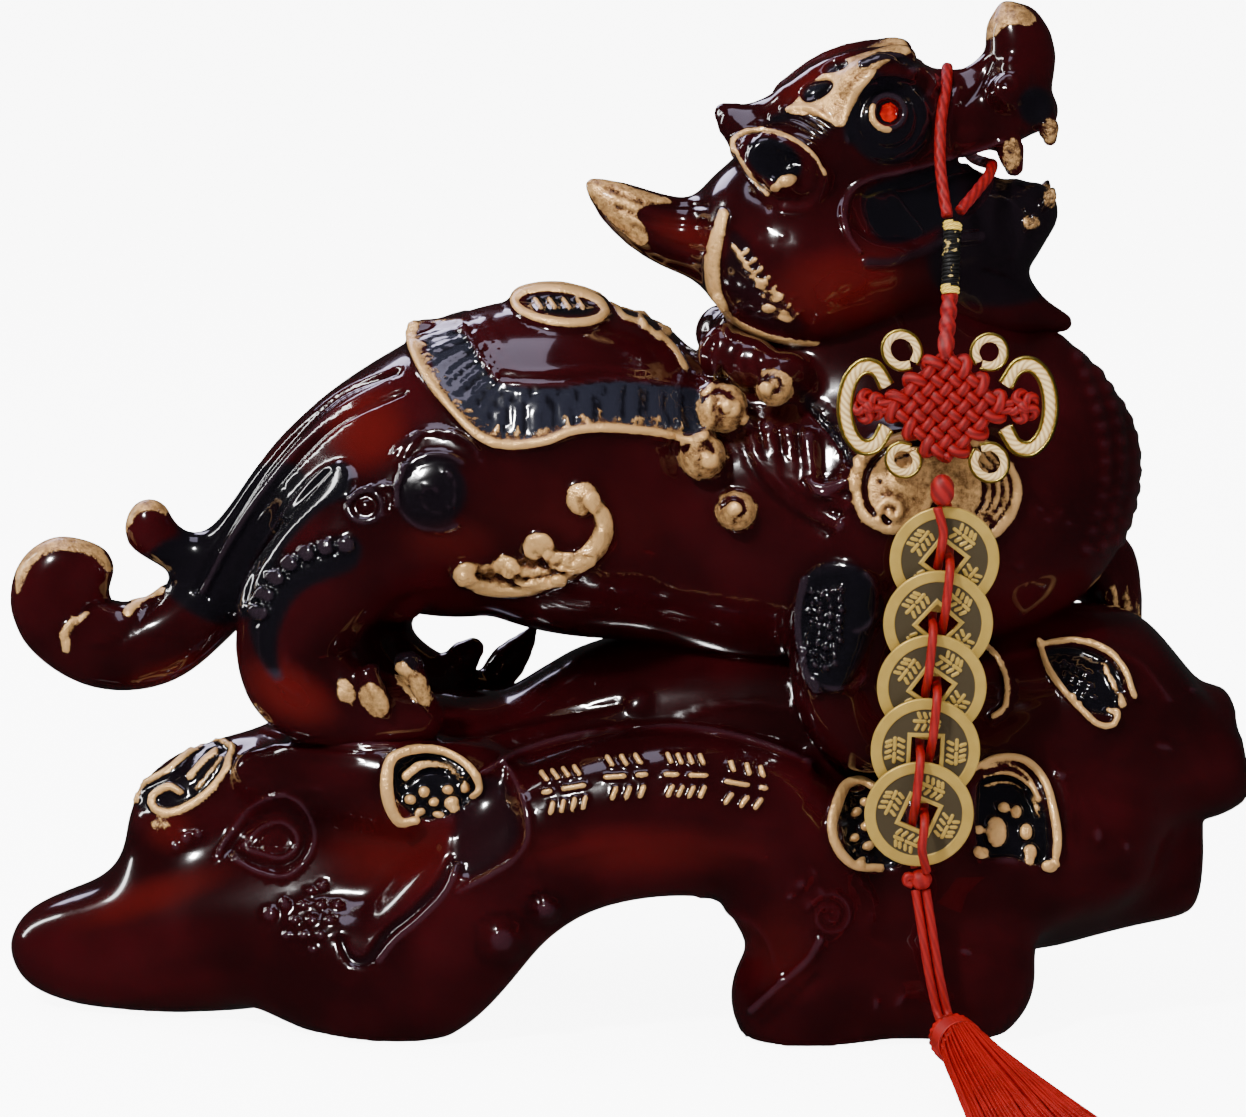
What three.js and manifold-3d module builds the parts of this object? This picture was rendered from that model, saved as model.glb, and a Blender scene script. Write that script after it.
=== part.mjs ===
// A lacquered pixiu that strides along a root-wood stand, with a hanging charm round its snout.
// Millimetres, +Z up, the head toward +X and the side that shows toward -Y.
// The animal and its stand are one casting. Its two eye stones are set in, and the charm hangs
// free: a corded loop, a bound sleeve, a flat knot with looped ears, five cash coins and a tassel.
import * as THREE from 'three';
import { LoftGeometry } from 'three/addons/geometries/LoftGeometry.js';
import { mergeVertices } from 'three/addons/utils/BufferGeometryUtils.js';
import Module from 'manifold-3d';

const wasm = await Module();
wasm.setup();

// The figure is a free form. Its pose and carving are shares of its length, a unit being 1/280.
const FIGURE_LENGTH = 280;
const UNIT = FIGURE_LENGTH / 280;

// Stones, fits and the charm's own sizes.
const EYE_STONE = 5.2;
const CLEARANCE = 0.3;
const LOOP_CORD = 2.6;
const STRAND = 2;
const TRIM_CORD = 2.6;
const SMALL_TRIM_CORD = 1.8;
const SLEEVE_DIAMETER = 3.8;
const SLEEVE_LENGTH = 16.4;
const SLEEVE_RING = 1.9;
const NECK_DIAMETER = 3.4;
const KNOT_SIDE = 19;
const KNOT_THICKNESS = 5;
const KNOT_RIBS = 4;
const FLOWER_KNOT = 8;
const BUTTON_DIAMETER = 5;
const BUTTON_HEIGHT = 6.4;
const COIN_DIAMETER = 24;
const COIN_THICKNESS = 1;
const COIN_HOLE = 6.4;
const COIN_PITCH = 14.1;
const COIN_TURNS = [38, 42, 36, 2, 24];
const COIN_LEAN = 5.5;
const END_KNOT_DIAMETER = 5.4;
const END_KNOT_HEIGHT = 4;
const TASSEL_HEAD_DIAMETER = 12;
const TASSEL_HEAD_LENGTH = 13;
const TASSEL_LENGTH = 66;
const TASSEL_SPREAD = 34;
const TASSEL_LOCKS = 9;

// The animal, each limb as [x, y, z, radius] down its middle.
const ANIMAL = {
  torso: [[-58, 0, 130, 13], [-44, 0, 124, 31.5], [-26, 0, 124.5, 36.5], [-6, 0, 121, 39], [11, 0, 114, 34],
    [40, 0, 114, 38], [80, 0, 120, 38], [98, 0, 124, 30], [110, 0, 126, 14]],
  neck: [[64, 0, 130, 38], [53, -2, 152, 34], [47, -4, 178, 26]],
  skull: [[39, -3, 191, 14], [49, -3, 200, 19.5], [57.5, -3, 205.5, 13.8]],
  snout: [[55, -3, 199, 14.5], [69, -3, 200, 10.8], [81, -3, 203.5, 9.8], [87, -3, 205, 7.5]],
  nose: [[84, -3, 203, 7], [88.8, -3, 210, 7.8], [89.3, -3, 216, 7.6], [88.2, -3, 222, 6],
    [85, -3, 226.2, 2.2]],
  lip: [[86, -3, 203, 7], [93, -3, 204, 4.5]],
  jaw: [[58, -3, 173, 15], [73, -3, 177, 13], [84, -3, 177, 12], [90.5, -3, 179.5, 7.2]],
  cheek: [[38, -3, 179, 17.5], [52, -3, 177, 15.5]],
  beard: [[76, -3, 165, 11], [87, -3, 160, 8], [95, -3, 157.5, 4.5], [99, -3, 155.5, 2.5]],
  backLock: [[36, -3, 176, 13], [18, -3, 176, 9.5], [7, -3, 178, 7.2], [-2, -3, 183, 4.6],
    [-7.6, -3, 188, 1.4]],
  tail: [[-40, 0, 140, 11], [-62, 0, 130.5, 11], [-76, 0, 116, 10], [-86, 0, 101, 9.2], [-96, 0, 89, 8.8],
    [-107, 0, 81.5, 8.8], [-119, 0, 82, 10], [-129, 0, 87, 9.5], [-132, 0, 95, 7.6], [-128, 0, 100, 6.2],
    [-122, 0, 99.5, 5.6]],
  tailCurl: [[-86, 0, 106, 7], [-95, 0, 102, 6], [-103, 0, 103.5, 5.2], [-107.5, 0, 108, 5.6],
    [-107.5, 0, 111, 4.6]],
  hindNear: [[-36, -17, 121, 21], [-55, -23, 112, 16], [-69, -25, 98, 15], [-75, -26, 87, 13],
    [-71, -26, 77, 12.3], [-55, -27, 71, 9.5], [-45, -27, 70, 7]],
  hindFar: [[-36, 19, 121, 21], [-50, 24, 100, 15], [-55, 26, 84, 9.5], [-51, 26, 73, 9],
    [-38, 26, 69, 8.5], [-29, 26, 70, 7.5]],
  foreNear: [[62, -20, 121, 22], [54, -28, 104, 15], [49, -31, 90, 11], [48, -32, 76, 10], [54, -33, 67, 9],
    [64, -34, 64, 7]],
  foreFar: [[82, 20, 117, 22], [100, 26, 101, 12], [111, 28, 95, 8], [117, 28, 90, 5]],
};

// The root stand, in the same way.
const STAND = {
  leftRoot: [[-140, -4, 12, 3], [-131, -5, 12, 12.3], [-112, -6, 14.5, 18], [-92, -6, 18.5, 22],
    [-48, -3, 32, 27]],
  leftStub: [[-99, -4, 26, 16], [-98, -4, 44, 13.5], [-94.5, -4, 50, 12]],
  ledge: [[-84, 0, 51, 10], [-60, 0, 52, 17], [-30, 0, 53, 17], [-4, 0, 53, 16]],
  backRest: [[-28, 3, 56, 14], [-4, 3, 64, 21], [34, 3, 66, 23], [64, 3, 62, 25], [88, 2, 66, 24]],
  ledgeNear: [[-83, -20, 57, 5], [-57, -29, 57, 11], [-34, -31, 53, 12]],
  bandRoot: [[-84, -20, 18, 14], [-62, -31, 13, 17], [-45, -36, 14.5, 18.5], [-27, -37, 34, 18],
    [-11, -37, 46.5, 18.5], [11, -37, 51.5, 19.2], [31, -37, 47.5, 18.5], [42, -37, 30, 14.5],
    [42, -36, 12, 14.5]],
  bandRootFar: [[-84, 22, 20, 15], [-50, 36, 18, 16], [-22, 39, 38, 15.5], [6, 39, 48, 15.5],
    [32, 39, 42, 15.5], [46, 38, 12, 14]],
  footNear: [[39.5, -34, 8, 15.5], [60, -34, 15, 17], [77, -32, 12.5, 17]],
  footFar: [[46, 34, 12, 14], [64, 36, 16, 17], [80, 30, 18, 15]],
  rightMass: [[50, -1, 42, 22], [74, -1, 40, 27], [102, 0, 43, 24]],
  highStump: [[90, 0, 60, 23], [106, 0, 66, 26], [120, 1, 62, 20.5], [128, 2, 55, 16]],
  lowStump: [[92, 4, 32, 23], [110, 6, 31, 18], [117, 8, 29.5, 15.5]],
};

// Each limb's number of ring sides, its width along Y as a share of its height, and rounding rings.
const RINGS = {
  torso: [8, 1], neck: [7, 1], skull: [7, 1.15, 1], snout: [6, 1.1, 1], nose: [6, 1.15], lip: [4, 1.5, 1],
  jaw: [6, 1.05, 1], cheek: [7, 1.7, 1], beard: [4, 1], backLock: [6, 1], tail: [6, 1, 1],
  tailCurl: [5, 1, 1], hindNear: [6, 1, 1], hindFar: [5, 1], foreNear: [6, 1, 1], foreFar: [5, 1],
  leftRoot: [8, 1.25], leftStub: [5, 1], ledge: [6, 1.9], backRest: [6, 1.25], ledgeNear: [5, 1],
  bandRoot: [7, 0.9, 1], bandRootFar: [5, 1], footNear: [7, 1, 1], footFar: [5, 1, 1], rightMass: [7, 1.7],
  highStump: [7, 1.3, 1], lowStump: [6, 1.3, 1],
};

// Shape helpers.
const place = (x, y, z) => new THREE.Vector3(x, y, z).multiplyScalar(UNIT);

// A closed mesh becomes a solid that can be joined and cut, its doubled points within MERGE merged.
const MERGE = 1e-4;
function solidOf(geometry) {
  const bare = new THREE.BufferGeometry().copy(geometry);
  for (const name of ['normal', 'uv']) bare.deleteAttribute(name);
  const merged = mergeVertices(bare, MERGE);
  return new wasm.Manifold(new wasm.Mesh({
    numProp: 3,
    vertProperties: new Float32Array(merged.attributes.position.array),
    triVerts: new Uint32Array(merged.index.array),
  }));
}

function geometryOf(solid) {
  const mesh = solid.getMesh();
  const geometry = new THREE.BufferGeometry();
  geometry.setAttribute('position', new THREE.BufferAttribute(new Float32Array(mesh.vertProperties), 3));
  geometry.setIndex([...mesh.triVerts]);
  geometry.computeVertexNormals();
  return geometry;
}

const joined = (solids) => solids.reduce((whole, solid) => whole.add(solid));

// Centre, direction and radius at even steps along a limb.
function stations(points, steps) {
  const path = new THREE.CatmullRomCurve3(points.map(([x, y, z]) => place(x, y, z)), false, 'centripetal');
  const spans = points.length - 1;
  return Array.from({ length: spans * steps + 1 }, (_, i) => {
    const span = Math.min(Math.floor(i / steps), spans - 1);
    const share = i / steps - span;
    const radius = THREE.MathUtils.lerp(points[span][3], points[span + 1][3], share) * UNIT;
    const t = i / (spans * steps);
    return { centre: path.getPoint(t), along: path.getTangent(t), radius };
  });
}

const LAST_ROUND = THREE.MathUtils.degToRad(75);

// A limb is a loft of rings round its middle line, rounded at both ends by `caps` shrinking rings.
// `width` widens it along Y and `grow` swells it.
function limb(points, { sides = 5, caps = 0, width = 1, grow = 0 } = {}) {
  const rings = [];
  const ring = (centre, along, radius) => {
    const across = new THREE.Vector3(0, 1, 0).addScaledVector(along, -along.y).normalize();
    const up = across.clone().cross(along);
    rings.push(Array.from({ length: sides }, (_, k) => {
      const angle = (2 * Math.PI * k) / sides;
      return centre.clone().addScaledVector(up, radius * Math.cos(angle))
        .addScaledVector(across, radius * width * Math.sin(angle));
    }));
  };
  const line = stations(points, 1);
  line.forEach(({ centre, along, radius }, i) => {
    const end = i === 0 ? -1 : 1;
    const isEnd = i === 0 || i === line.length - 1;
    const full = radius + grow;
    const count = isEnd ? caps : 0;
    const rounds = Array.from({ length: count }, (_, k) => ((k + 1) * LAST_ROUND) / (caps + 0.25));
    if (end < 0) rounds.reverse();
    const body = () => ring(centre, along, full);
    if (end > 0) body();
    for (const a of rounds) {
      ring(centre.clone().addScaledVector(along, end * full * Math.sin(a)), along, full * Math.cos(a));
    }
    if (end < 0) body();
  });
  return solidOf(new LoftGeometry(rings, { closed: true, capStart: true, capEnd: true }));
}

// A round boss or a rough nugget.
const ball = (x, y, z, radius) => solidOf(
  new THREE.IcosahedronGeometry(radius * UNIT, 0).translate(...place(x, y, z).toArray()));

// How far out the limbs reach at a place in the side view, toward -Y (side -1) or +Y (side 1),
// less what their flats cut off. Just outside every limb it is the middle of the nearest one.
const FLATS = 0.94;
function skinOf(limbs) {
  const beads = Object.entries(limbs).flatMap(([name, points]) => stations(points, 5)
    .map(({ centre, radius }) => ({ centre, radius, width: RINGS[name][1] })));
  return (x, z, side) => {
    let [reach, nearest, middle] = [-Infinity, -Infinity, 0];
    for (const { centre, radius, width } of beads) {
      const room = (FLATS * radius) ** 2 - (x * UNIT - centre.x) ** 2 - (z * UNIT - centre.z) ** 2;
      if (room > 0) reach = Math.max(reach, side * centre.y + width * Math.sqrt(room));
      if (room > nearest) [nearest, middle] = [room, side * centre.y];
    }
    return (side * (nearest > 0 ? reach : middle)) / UNIT;
  };
}
const animalSkin = skinOf(ANIMAL);
const standSkin = skinOf(STAND);

// A line of carving that lies on the skin: side-view points [x, z, radius].
const ridge = (skin, side, points) => limb(points.map(([x, z, radius]) =>
  [x, skin(x, z, side), z, radius]), { sides: 4 });

// A spiral boss on the skin, winding in from radius `size`.
function spiral(skin, side, x, z, size, thickness, turns = 1.4, start = 0) {
  const count = 7;
  return ridge(skin, side, Array.from({ length: count }, (_, i) => {
    const share = i / (count - 1);
    const angle = start + 2 * Math.PI * turns * share;
    const reach = size * (1 - 0.82 * share);
    return [x + reach * Math.cos(angle), z + reach * Math.sin(angle), thickness * (1 - 0.2 * share)];
  }));
}

// A slab through the whole depth with a side-view outline, for raised and sunken areas.
function prism(outline, from, to) {
  const shape = new THREE.Shape(outline.map(([x, z]) => new THREE.Vector2(x * UNIT, z * UNIT)));
  const geometry = new THREE.ExtrudeGeometry(shape, { depth: (to - from) * UNIT, bevelEnabled: false });
  return solidOf(geometry.rotateX(Math.PI / 2).translate(0, to * UNIT, 0));
}

const BOTH = [-1, 1];

const bodies = (limbs) => Object.entries(limbs).map(([name, points]) => {
  const [sides, width, caps] = RINGS[name];
  return limb(points, { sides, width, caps });
});

// Claws fan out from the end of each paw.
const PAWS = [
  { at: [-45, -27, 70], reach: 9, spread: [-9, 0, 9], drop: -2 },
  { at: [-30, 26, 68], reach: 10, spread: [-8, 0, 8], drop: 12 },
  { at: [64, -34, 64], reach: 8, spread: [-8, 0, 8], drop: -1 },
  { at: [116, 28, 90], reach: 6, spread: [-7, 0, 7], drop: -9 },
];
const claws = () => PAWS.flatMap(({ at: [x, y, z], reach, spread, drop }) => spread.map((off) =>
  limb([[x - 2, y + off * 0.8, z + 1, 4.6], [x + reach, y + off * 1.1, z - 1 + drop, 1]], { sides: 3 })));

// Head carving. The hidden cheek has the same main forms, without the lips, fangs and ear hollow.
const HEAD_MIDDLE = -3;
const spike = () => limb([[38, HEAD_MIDDLE, 199, 7], [25.5, HEAD_MIDDLE, 202, 3]], { sides: 4 });
function headSide(side) {
  const out = (reach) => HEAD_MIDDLE + side * reach;
  const ear = limb([[25, out(17), 197, 3.4], [34, out(19), 193, 9.5], [43, out(18), 189, 6.4],
    [49, out(17), 187, 2]], { sides: 6, width: 0.8 });
  return [
    ear,
    limb([[41, out(12), 201, 4], [50, out(11), 209, 7], [62, out(8), 212.5, 4.4]], { sides: 5 }),
    limb([[52, out(12), 204, 7], [62, out(10), 203, 6]], { sides: 6 }),
    ridge(animalSkin, side, [[23, 182, 2], [20.5, 171, 3.8], [23, 161, 4], [30, 156.5, 4],
      [39, 155.5, 2.4]]),
    limb([[87.5, out(6), 201, 3.4], [87.2, out(8), 191, 2]], { sides: 4 }),
  ];
}
function headNear() {
  const hollow = limb([[28, -29, 196, 2], [35, -29, 193, 6.6], [42, -27, 190, 4]], { width: 0.9 });
  const lips = [
    limb([[48, -19, 185, 2.2], [60, -18.5, 189, 2.6], [73, -15, 195.5, 2.4], [86, -10, 201.5, 2.2]],
      { sides: 4 }),
    limb([[52, -18, 168, 2], [66, -17, 171, 2.6], [78, -15, 178, 2.4], [88, -11, 186, 2]], { sides: 4 }),
  ];
  const browEdge = ridge(animalSkin, -1, [[38, 205, 2.2], [49, 213, 2.6], [61, 215, 2.2]]);
  const frontTooth = limb([[94, -6, 203, 2.8], [95, -6.5, 196, 1.4]], { sides: 4 });
  const nostril = limb([[86, -8, 207, 2.4], [91, -11, 207, 3], [89, -10, 213, 2]], { sides: 4 });
  const [ear, ...rest] = headSide(-1);
  return [spike(), ear.subtract(hollow), ...rest, ...lips, browEdge, frontTooth, nostril];
}

// Curled manes and beads down each side of the neck, and plates down the chest.
const NECK_BEADS = [[21.8, 142, 5.6], [32.4, 146, 4.2], [17.4, 131, 5.8], [24, 119.5, 4.6]];
const CHEST_PLATES = 4;
function neckCarving() {
  const beads = NECK_BEADS.map(([x, z, radius]) => ball(x, animalSkin(x, z, -1), z, radius));
  const plainBeads = NECK_BEADS.filter((_, i) => i % 2 === 0)
    .map(([x, z, radius]) => ball(x, animalSkin(x, z, 1), z, radius));
  const mane = [0, 1, 2].map((i) => {
    const [x, z] = [32 + 8 * i, 154 - 3 * i];
    return ridge(animalSkin, -1, [[x + 2, z + 2, 4], [x - 3, z - 8, 3.2]]);
  });
  const crest = [0, 1].map((i) => limb([[30 - 5 * i, -2, 165 - 9 * i, 8], [18 - 5 * i, -2, 160 - 9 * i, 2]],
    { width: 1.6 }));
  const plates = limb(Array.from({ length: 2 * CHEST_PLATES + 1 }, (_, i) => {
    const angle = THREE.MathUtils.degToRad(62 - 14 * i);
    return [78 + 25 * Math.cos(angle), 0, 121 + 25 * Math.sin(angle), i % 2 ? 14.5 : 11.5];
  }), { sides: 6, width: 1.5 });
  return [...beads, ...plainBeads, ...mane, ...crest, plates];
}

// The shoulder cloud, the wing scroll and the haunch spirals, plainer on the hidden flank.
function flankCarving() {
  const both = BOTH.flatMap((side) => [
    ridge(animalSkin, side, [[52, 135, 2.4], [47.5, 126, 5.8], [56, 117, 5.8], [66, 125, 4.4]]),
    ridge(animalSkin, side, [[-37, 101.5, 2], [-26, 101, 3.2], [-16, 105, 3.6], [-7, 111.5, 3.8],
      [-4.5, 118, 3.6], [-9, 122.5, 3.2]]),
  ]);
  return [
    ...both,
    spiral(animalSkin, -1, -43, 120, 8.5, 2.4, 1.3, 4),
    ridge(animalSkin, -1, [[86, 133, 2.4], [88, 124, 4.8], [80, 117, 5], [72, 121, 4.5]]),
    ridge(animalSkin, -1, [[-24, 101, 3.2], [-31, 107, 2.2]]),
  ];
}

// Scale bumps up the hind shin and a scaled guard on the near foreleg.
const FORELEG_GUARD = [[38, 98], [52, 99], [51, 86], [49, 79], [38, 80], [36, 88]];
const GUARD_LIFT = 1.6;
function legCarving() {
  const shin = [0, 1, 2, 3].map((i) => ball(-60 - 4.4 * i, -35 + 0.3 * i, 109 - 6 * i, 4));
  const swollen = limb(ANIMAL.foreNear, { sides: RINGS.foreNear[0], caps: 1, grow: GUARD_LIFT * UNIT });
  return [...shin, swollen.intersect(prism(FORELEG_GUARD, -60, -28))];
}

const tailCarving = () => [
  limb([[-60, 0, 138.5, 4], [-74, 0, 127, 5.2], [-92, 0, 99, 3]], { sides: 4, width: 1.5 }),
  limb([[-97, 0, 91, 5], [-103, 0, 97, 3.6]], { sides: 4, width: 1.5 }),
  limb([[-108, 0, 87, 4], [-109.5, 0, 92, 3]], { sides: 4, width: 1.5 }),
];

// The saddle cloth lies over the torso, with a coin on top. A pleated fringe and a rolled hem show.
const SADDLE_HEM = [[-47, 157], [-42, 147], [-29.5, 133.5], [-17, 134], [-4, 137], [15, 135]];
const SADDLE_TOP = 178;
const SADDLE_LIFT = 2.6;
const SADDLE_PLEATS = 5;
const SADDLE_COIN = { at: [-14, -10, 159], radius: 10.5, height: 6, hole: 2.6, tilt: 20 };
function saddle() {
  const over = [[16, SADDLE_TOP], [-47, SADDLE_TOP]];
  const cloth = limb(ANIMAL.torso, { sides: RINGS.torso[0], caps: 1, grow: SADDLE_LIFT * UNIT })
    .intersect(prism([...SADDLE_HEM, ...over], -60, 60));
  const roll = ridge(animalSkin, -1, SADDLE_HEM.map(([x, z]) => [x, z, 2.6]));
  const pleats = Array.from({ length: SADDLE_PLEATS }, (_, i) => {
    const x = THREE.MathUtils.lerp(-30, 11, i / (SADDLE_PLEATS - 1));
    return ridge(animalSkin, -1, [[x, 143, 2.6], [x - 1.5, 136, 2.8]]);
  });
  const { at, radius, height, hole, tilt } = SADDLE_COIN;
  const upright = (geometry, lift) => solidOf(geometry.translate(0, lift * UNIT, 0)
    .rotateX(Math.PI / 2 + THREE.MathUtils.degToRad(tilt)).translate(...place(...at).toArray()));
  const drum = (r, sides) => new THREE.CylinderGeometry(r * UNIT, r * UNIT, height * UNIT, sides);
  const coin = upright(drum(radius, 12), 0);
  const well = upright(drum(hole, 4), height * 0.7);
  return [cloth, roll, ...pleats, coin.subtract(well)];
}

// Broken knots in the wood, each a rolled lip round a hollow.
const KNOTHOLES = [
  { at: [-97.5, 50], size: [10.5, 6], tilt: 30 },
  { at: [-42, 58], size: [10, 8], tilt: -8 },
  { at: [52, 51], size: [7, 9], tilt: 10 },
  { at: [89, 53], size: [8, 9.5], tilt: 0 },
  { at: [104, 77], size: [10.5, 6.5], tilt: -38 },
];
const knotholes = () => KNOTHOLES.map(({ at: [x, z], size: [wide, tall], tilt }) => {
  const turn = THREE.MathUtils.degToRad(tilt);
  const lip = Array.from({ length: 6 }, (_, i) => {
    const angle = (2 * Math.PI * i) / 6.3;
    const [a, b] = [wide * Math.cos(angle), tall * Math.sin(angle)];
    return [x + a * Math.cos(turn) - b * Math.sin(turn), z + a * Math.sin(turn) + b * Math.cos(turn), 2.8];
  });
  return ridge(standSkin, -1, lip);
});

// Swirls, bumps and burrs in the bark, on the side that shows.
const BURRS = [[-27, 25, 5], [-17, 32, 3.6], [-64, 26, 5]];
const barkCarving = () => [
  spiral(standSkin, -1, -78, 43, 9, 2.4, 1.5, 0.6),
  spiral(standSkin, -1, 46, 31, 6.5, 2, 1.5, 0),
  ...BURRS.map(([x, z, radius]) => ball(x, standSkin(x, z, -1), z, radius)),
  ridge(standSkin, -1, [[-66, 10, 3], [-56, 24, 3.4], [-40, 50, 2.4]]),
];

// Four groups of plain raised strokes along the arched band.
const STROKES = [[0, 3.2, 5.4, 1.4], [-2.4, 0, 1.4, 4], [2.4, 0, 1.4, 4], [0, -3.2, 6, 1.4]];
const STROKE_GROUPS = [-14, -0.5, 13, 26];
const STROKE_DEPTH = 8;
const STROKE_LIFT = 2;
function inscription() {
  return STROKE_GROUPS.flatMap((x, group) => {
    const z = 60.5 - 0.0055 * (x - 8) ** 2;
    return STROKES.filter((_, i) => i !== group).map(([dx, dz, wide, tall]) => {
      const box = new THREE.BoxGeometry(wide * UNIT, STROKE_DEPTH * UNIT, tall * UNIT);
      const at = place(x + dx, standSkin(x + dx, z + dz, -1) + 0.5 * STROKE_DEPTH - STROKE_LIFT, z + dz);
      return solidOf(box.translate(at.x, at.y, at.z));
    });
  });
}

// The two eye stones, each in a socket that is cut a clearance wider.
const EYES = { near: -1, far: 1 };
const eyePlace = (side) => place(58.6, HEAD_MIDDLE + side * 17, 205);
const eyeStone = (side, grow = 0) => {
  const radius = EYE_STONE / 2 + grow;
  const at = eyePlace(side);
  return solidOf(new THREE.SphereGeometry(radius, 7, 4).scale(1, 0.8, 1).translate(at.x, at.y, at.z));
};

// Everything is joined, pockets sealed inside are filled, and the underside is cut flat.
function figure() {
  const whole = joined([
    ...bodies(ANIMAL), ...claws(), ...headNear(), ...headSide(1), ...neckCarving(), ...flankCarving(),
    ...legCarving(), ...tailCarving(), ...saddle(), ...bodies(STAND), ...knotholes(), ...barkCarving(),
    ...inscription(),
  ]);
  const filled = joined(whole.decompose().filter((shell) => shell.volume() > 0));
  const room = 400 * UNIT;
  const aboveFloor = solidOf(new THREE.BoxGeometry(room, room, room).translate(0, 0, room / 2));
  const sockets = joined(Object.values(EYES).map((side) => eyeStone(side, CLEARANCE)));
  return filled.intersect(aboveFloor).subtract(sockets);
}

// The charm. Its anchors follow the figure, and its pieces keep their own sizes.
const LOOP_ROUTE = [[71.3, -30.5, 183.5], [70.6, -27.5, 188], [70, -22.5, 195], [70.4, -17.5, 203],
  [71.8, -11, 209.8], [72.5, -3, 213.6], [73, 5, 210.1], [73.6, 11.4, 203.4], [75.5, 13, 196.5],
  [79, 9, 192.4], [82, 0, 191.9], [82.5, -8, 192.3], [81, -16, 190.6], [77.5, -23.5, 187.5],
  [74.2, -28.5, 184.5]];
const SLEEVE_TOP = place(72.4, -31.5, 182.4);
const KNOT_CENTRE = place(70.5, -45, 143.4);
const BUTTON_CENTRE = place(69.6, -51.2, 125.8);
const FIRST_COIN = place(70.3, -49.6, 110.2);
const LAST_COIN = place(65, -54, 54);
const END_KNOT_CENTRE = place(65.6, -52.8, 39.2);
const TASSEL_TOP = place(71.5, -57.5, 0).setZ(TASSEL_HEAD_DIAMETER / 2 + 2);
const TASSEL_END = place(91, -136, 0);

// A cord is a tube of `sides` flats along its route.
function cord(points, diameter, steps, sides = 8) {
  const flat = new THREE.Shape(Array.from({ length: sides }, (_, k) => {
    const angle = (2 * Math.PI * k) / sides;
    return new THREE.Vector2((diameter / 2) * Math.cos(angle), (diameter / 2) * Math.sin(angle));
  }));
  const extrudePath = new THREE.CatmullRomCurve3(points, false, 'centripetal');
  return new THREE.ExtrudeGeometry(flat, { steps, bevelEnabled: false, extrudePath });
}

// A turned piece: profile points [radius, height] down from the top, its axis along +Z.
const turned = (profile, sides = 12) => new THREE.LatheGeometry(
  profile.map(([radius, height]) => new THREE.Vector2(radius, height)), sides).rotateX(Math.PI / 2);

const between = (from, to) => new THREE.Quaternion().setFromUnitVectors(
  new THREE.Vector3(0, 0, -1), to.clone().sub(from).normalize());

const coinAxis = LAST_COIN.clone().sub(FIRST_COIN).normalize();
const coinCentre = (index) => FIRST_COIN.clone().addScaledVector(coinAxis, COIN_PITCH * index);

// A cash coin, a disc with a square hole.
function coinGeometry() {
  const outline = new THREE.Shape().absarc(0, 0, COIN_DIAMETER / 2, 0, 2 * Math.PI);
  const half = COIN_HOLE / 2;
  outline.holes.push(new THREE.Path([[-half, -half], [-half, half], [half, half], [half, -half]]
    .map(([x, y]) => new THREE.Vector2(x, y))));
  const options = { depth: COIN_THICKNESS, bevelEnabled: false, curveSegments: 8 };
  return new THREE.ExtrudeGeometry(outline, options)
    .translate(0, 0, -COIN_THICKNESS / 2).rotateX(Math.PI / 2);
}
function coinPose(index) {
  const lean = new THREE.Matrix4().makeRotationX(THREE.MathUtils.degToRad(COIN_LEAN));
  const turn = new THREE.Matrix4().makeRotationY(THREE.MathUtils.degToRad(COIN_TURNS[index]));
  return new THREE.Matrix4().setPosition(coinCentre(index)).multiply(lean).multiply(turn);
}

// The two strands pass every hole from opposite faces, so each is in front of every second coin.
// Through a hole, the strand that comes forward lies flat between its two neighbours' edges.
const STRAND_APART = STRAND / 2 + CLEARANCE / 2;
const BETWEEN_HOLES = 3.6;
const STRAND_STEPS = 26;
const COMING_FORWARD = [[4.2, 3.4], [2.8, 0.6], [-2.8, -0.6], [-4.2, -3.4]];
const GOING_BACK = [[-3.2, 3.6], [0, 0], [3.2, -3.6]];
const STRAND_ROOT = 1.8;
const strandEnd = (knot, side, sway, rise) => knot.clone()
  .add(new THREE.Vector3(side * STRAND_APART, sway * STRAND_ROOT, rise));
const strandTop = (side, front) =>
  strandEnd(BUTTON_CENTRE, side, front ? -1 : 1, -BUTTON_HEIGHT / 2 - CLEARANCE);
const strandFoot = (side, front) =>
  strandEnd(END_KNOT_CENTRE, side, front ? 1 : -1, END_KNOT_HEIGHT / 2 + CLEARANCE);
function strandRoute(side, front) {
  const along = (index, sway, rise) => coinCentre(index)
    .add(new THREE.Vector3(side * STRAND_APART, sway, 0)).addScaledVector(coinAxis, -rise);
  const passes = COIN_TURNS.flatMap((_, i) => {
    const back = (i % 2 === 0) === front;
    const rests = along(i + 0.5, back ? BETWEEN_HOLES : -BETWEEN_HOLES, 0);
    return [...(back ? GOING_BACK : COMING_FORWARD).map(([sway, rise]) => along(i, sway, rise)), rests];
  });
  return [strandTop(side, front), along(-0.5, front ? -BETWEEN_HOLES : BETWEEN_HOLES, 0), ...passes,
    strandFoot(side, front)];
}
const strand = (side, front) => cord(strandRoute(side, front), STRAND, STRAND_STEPS);

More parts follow.
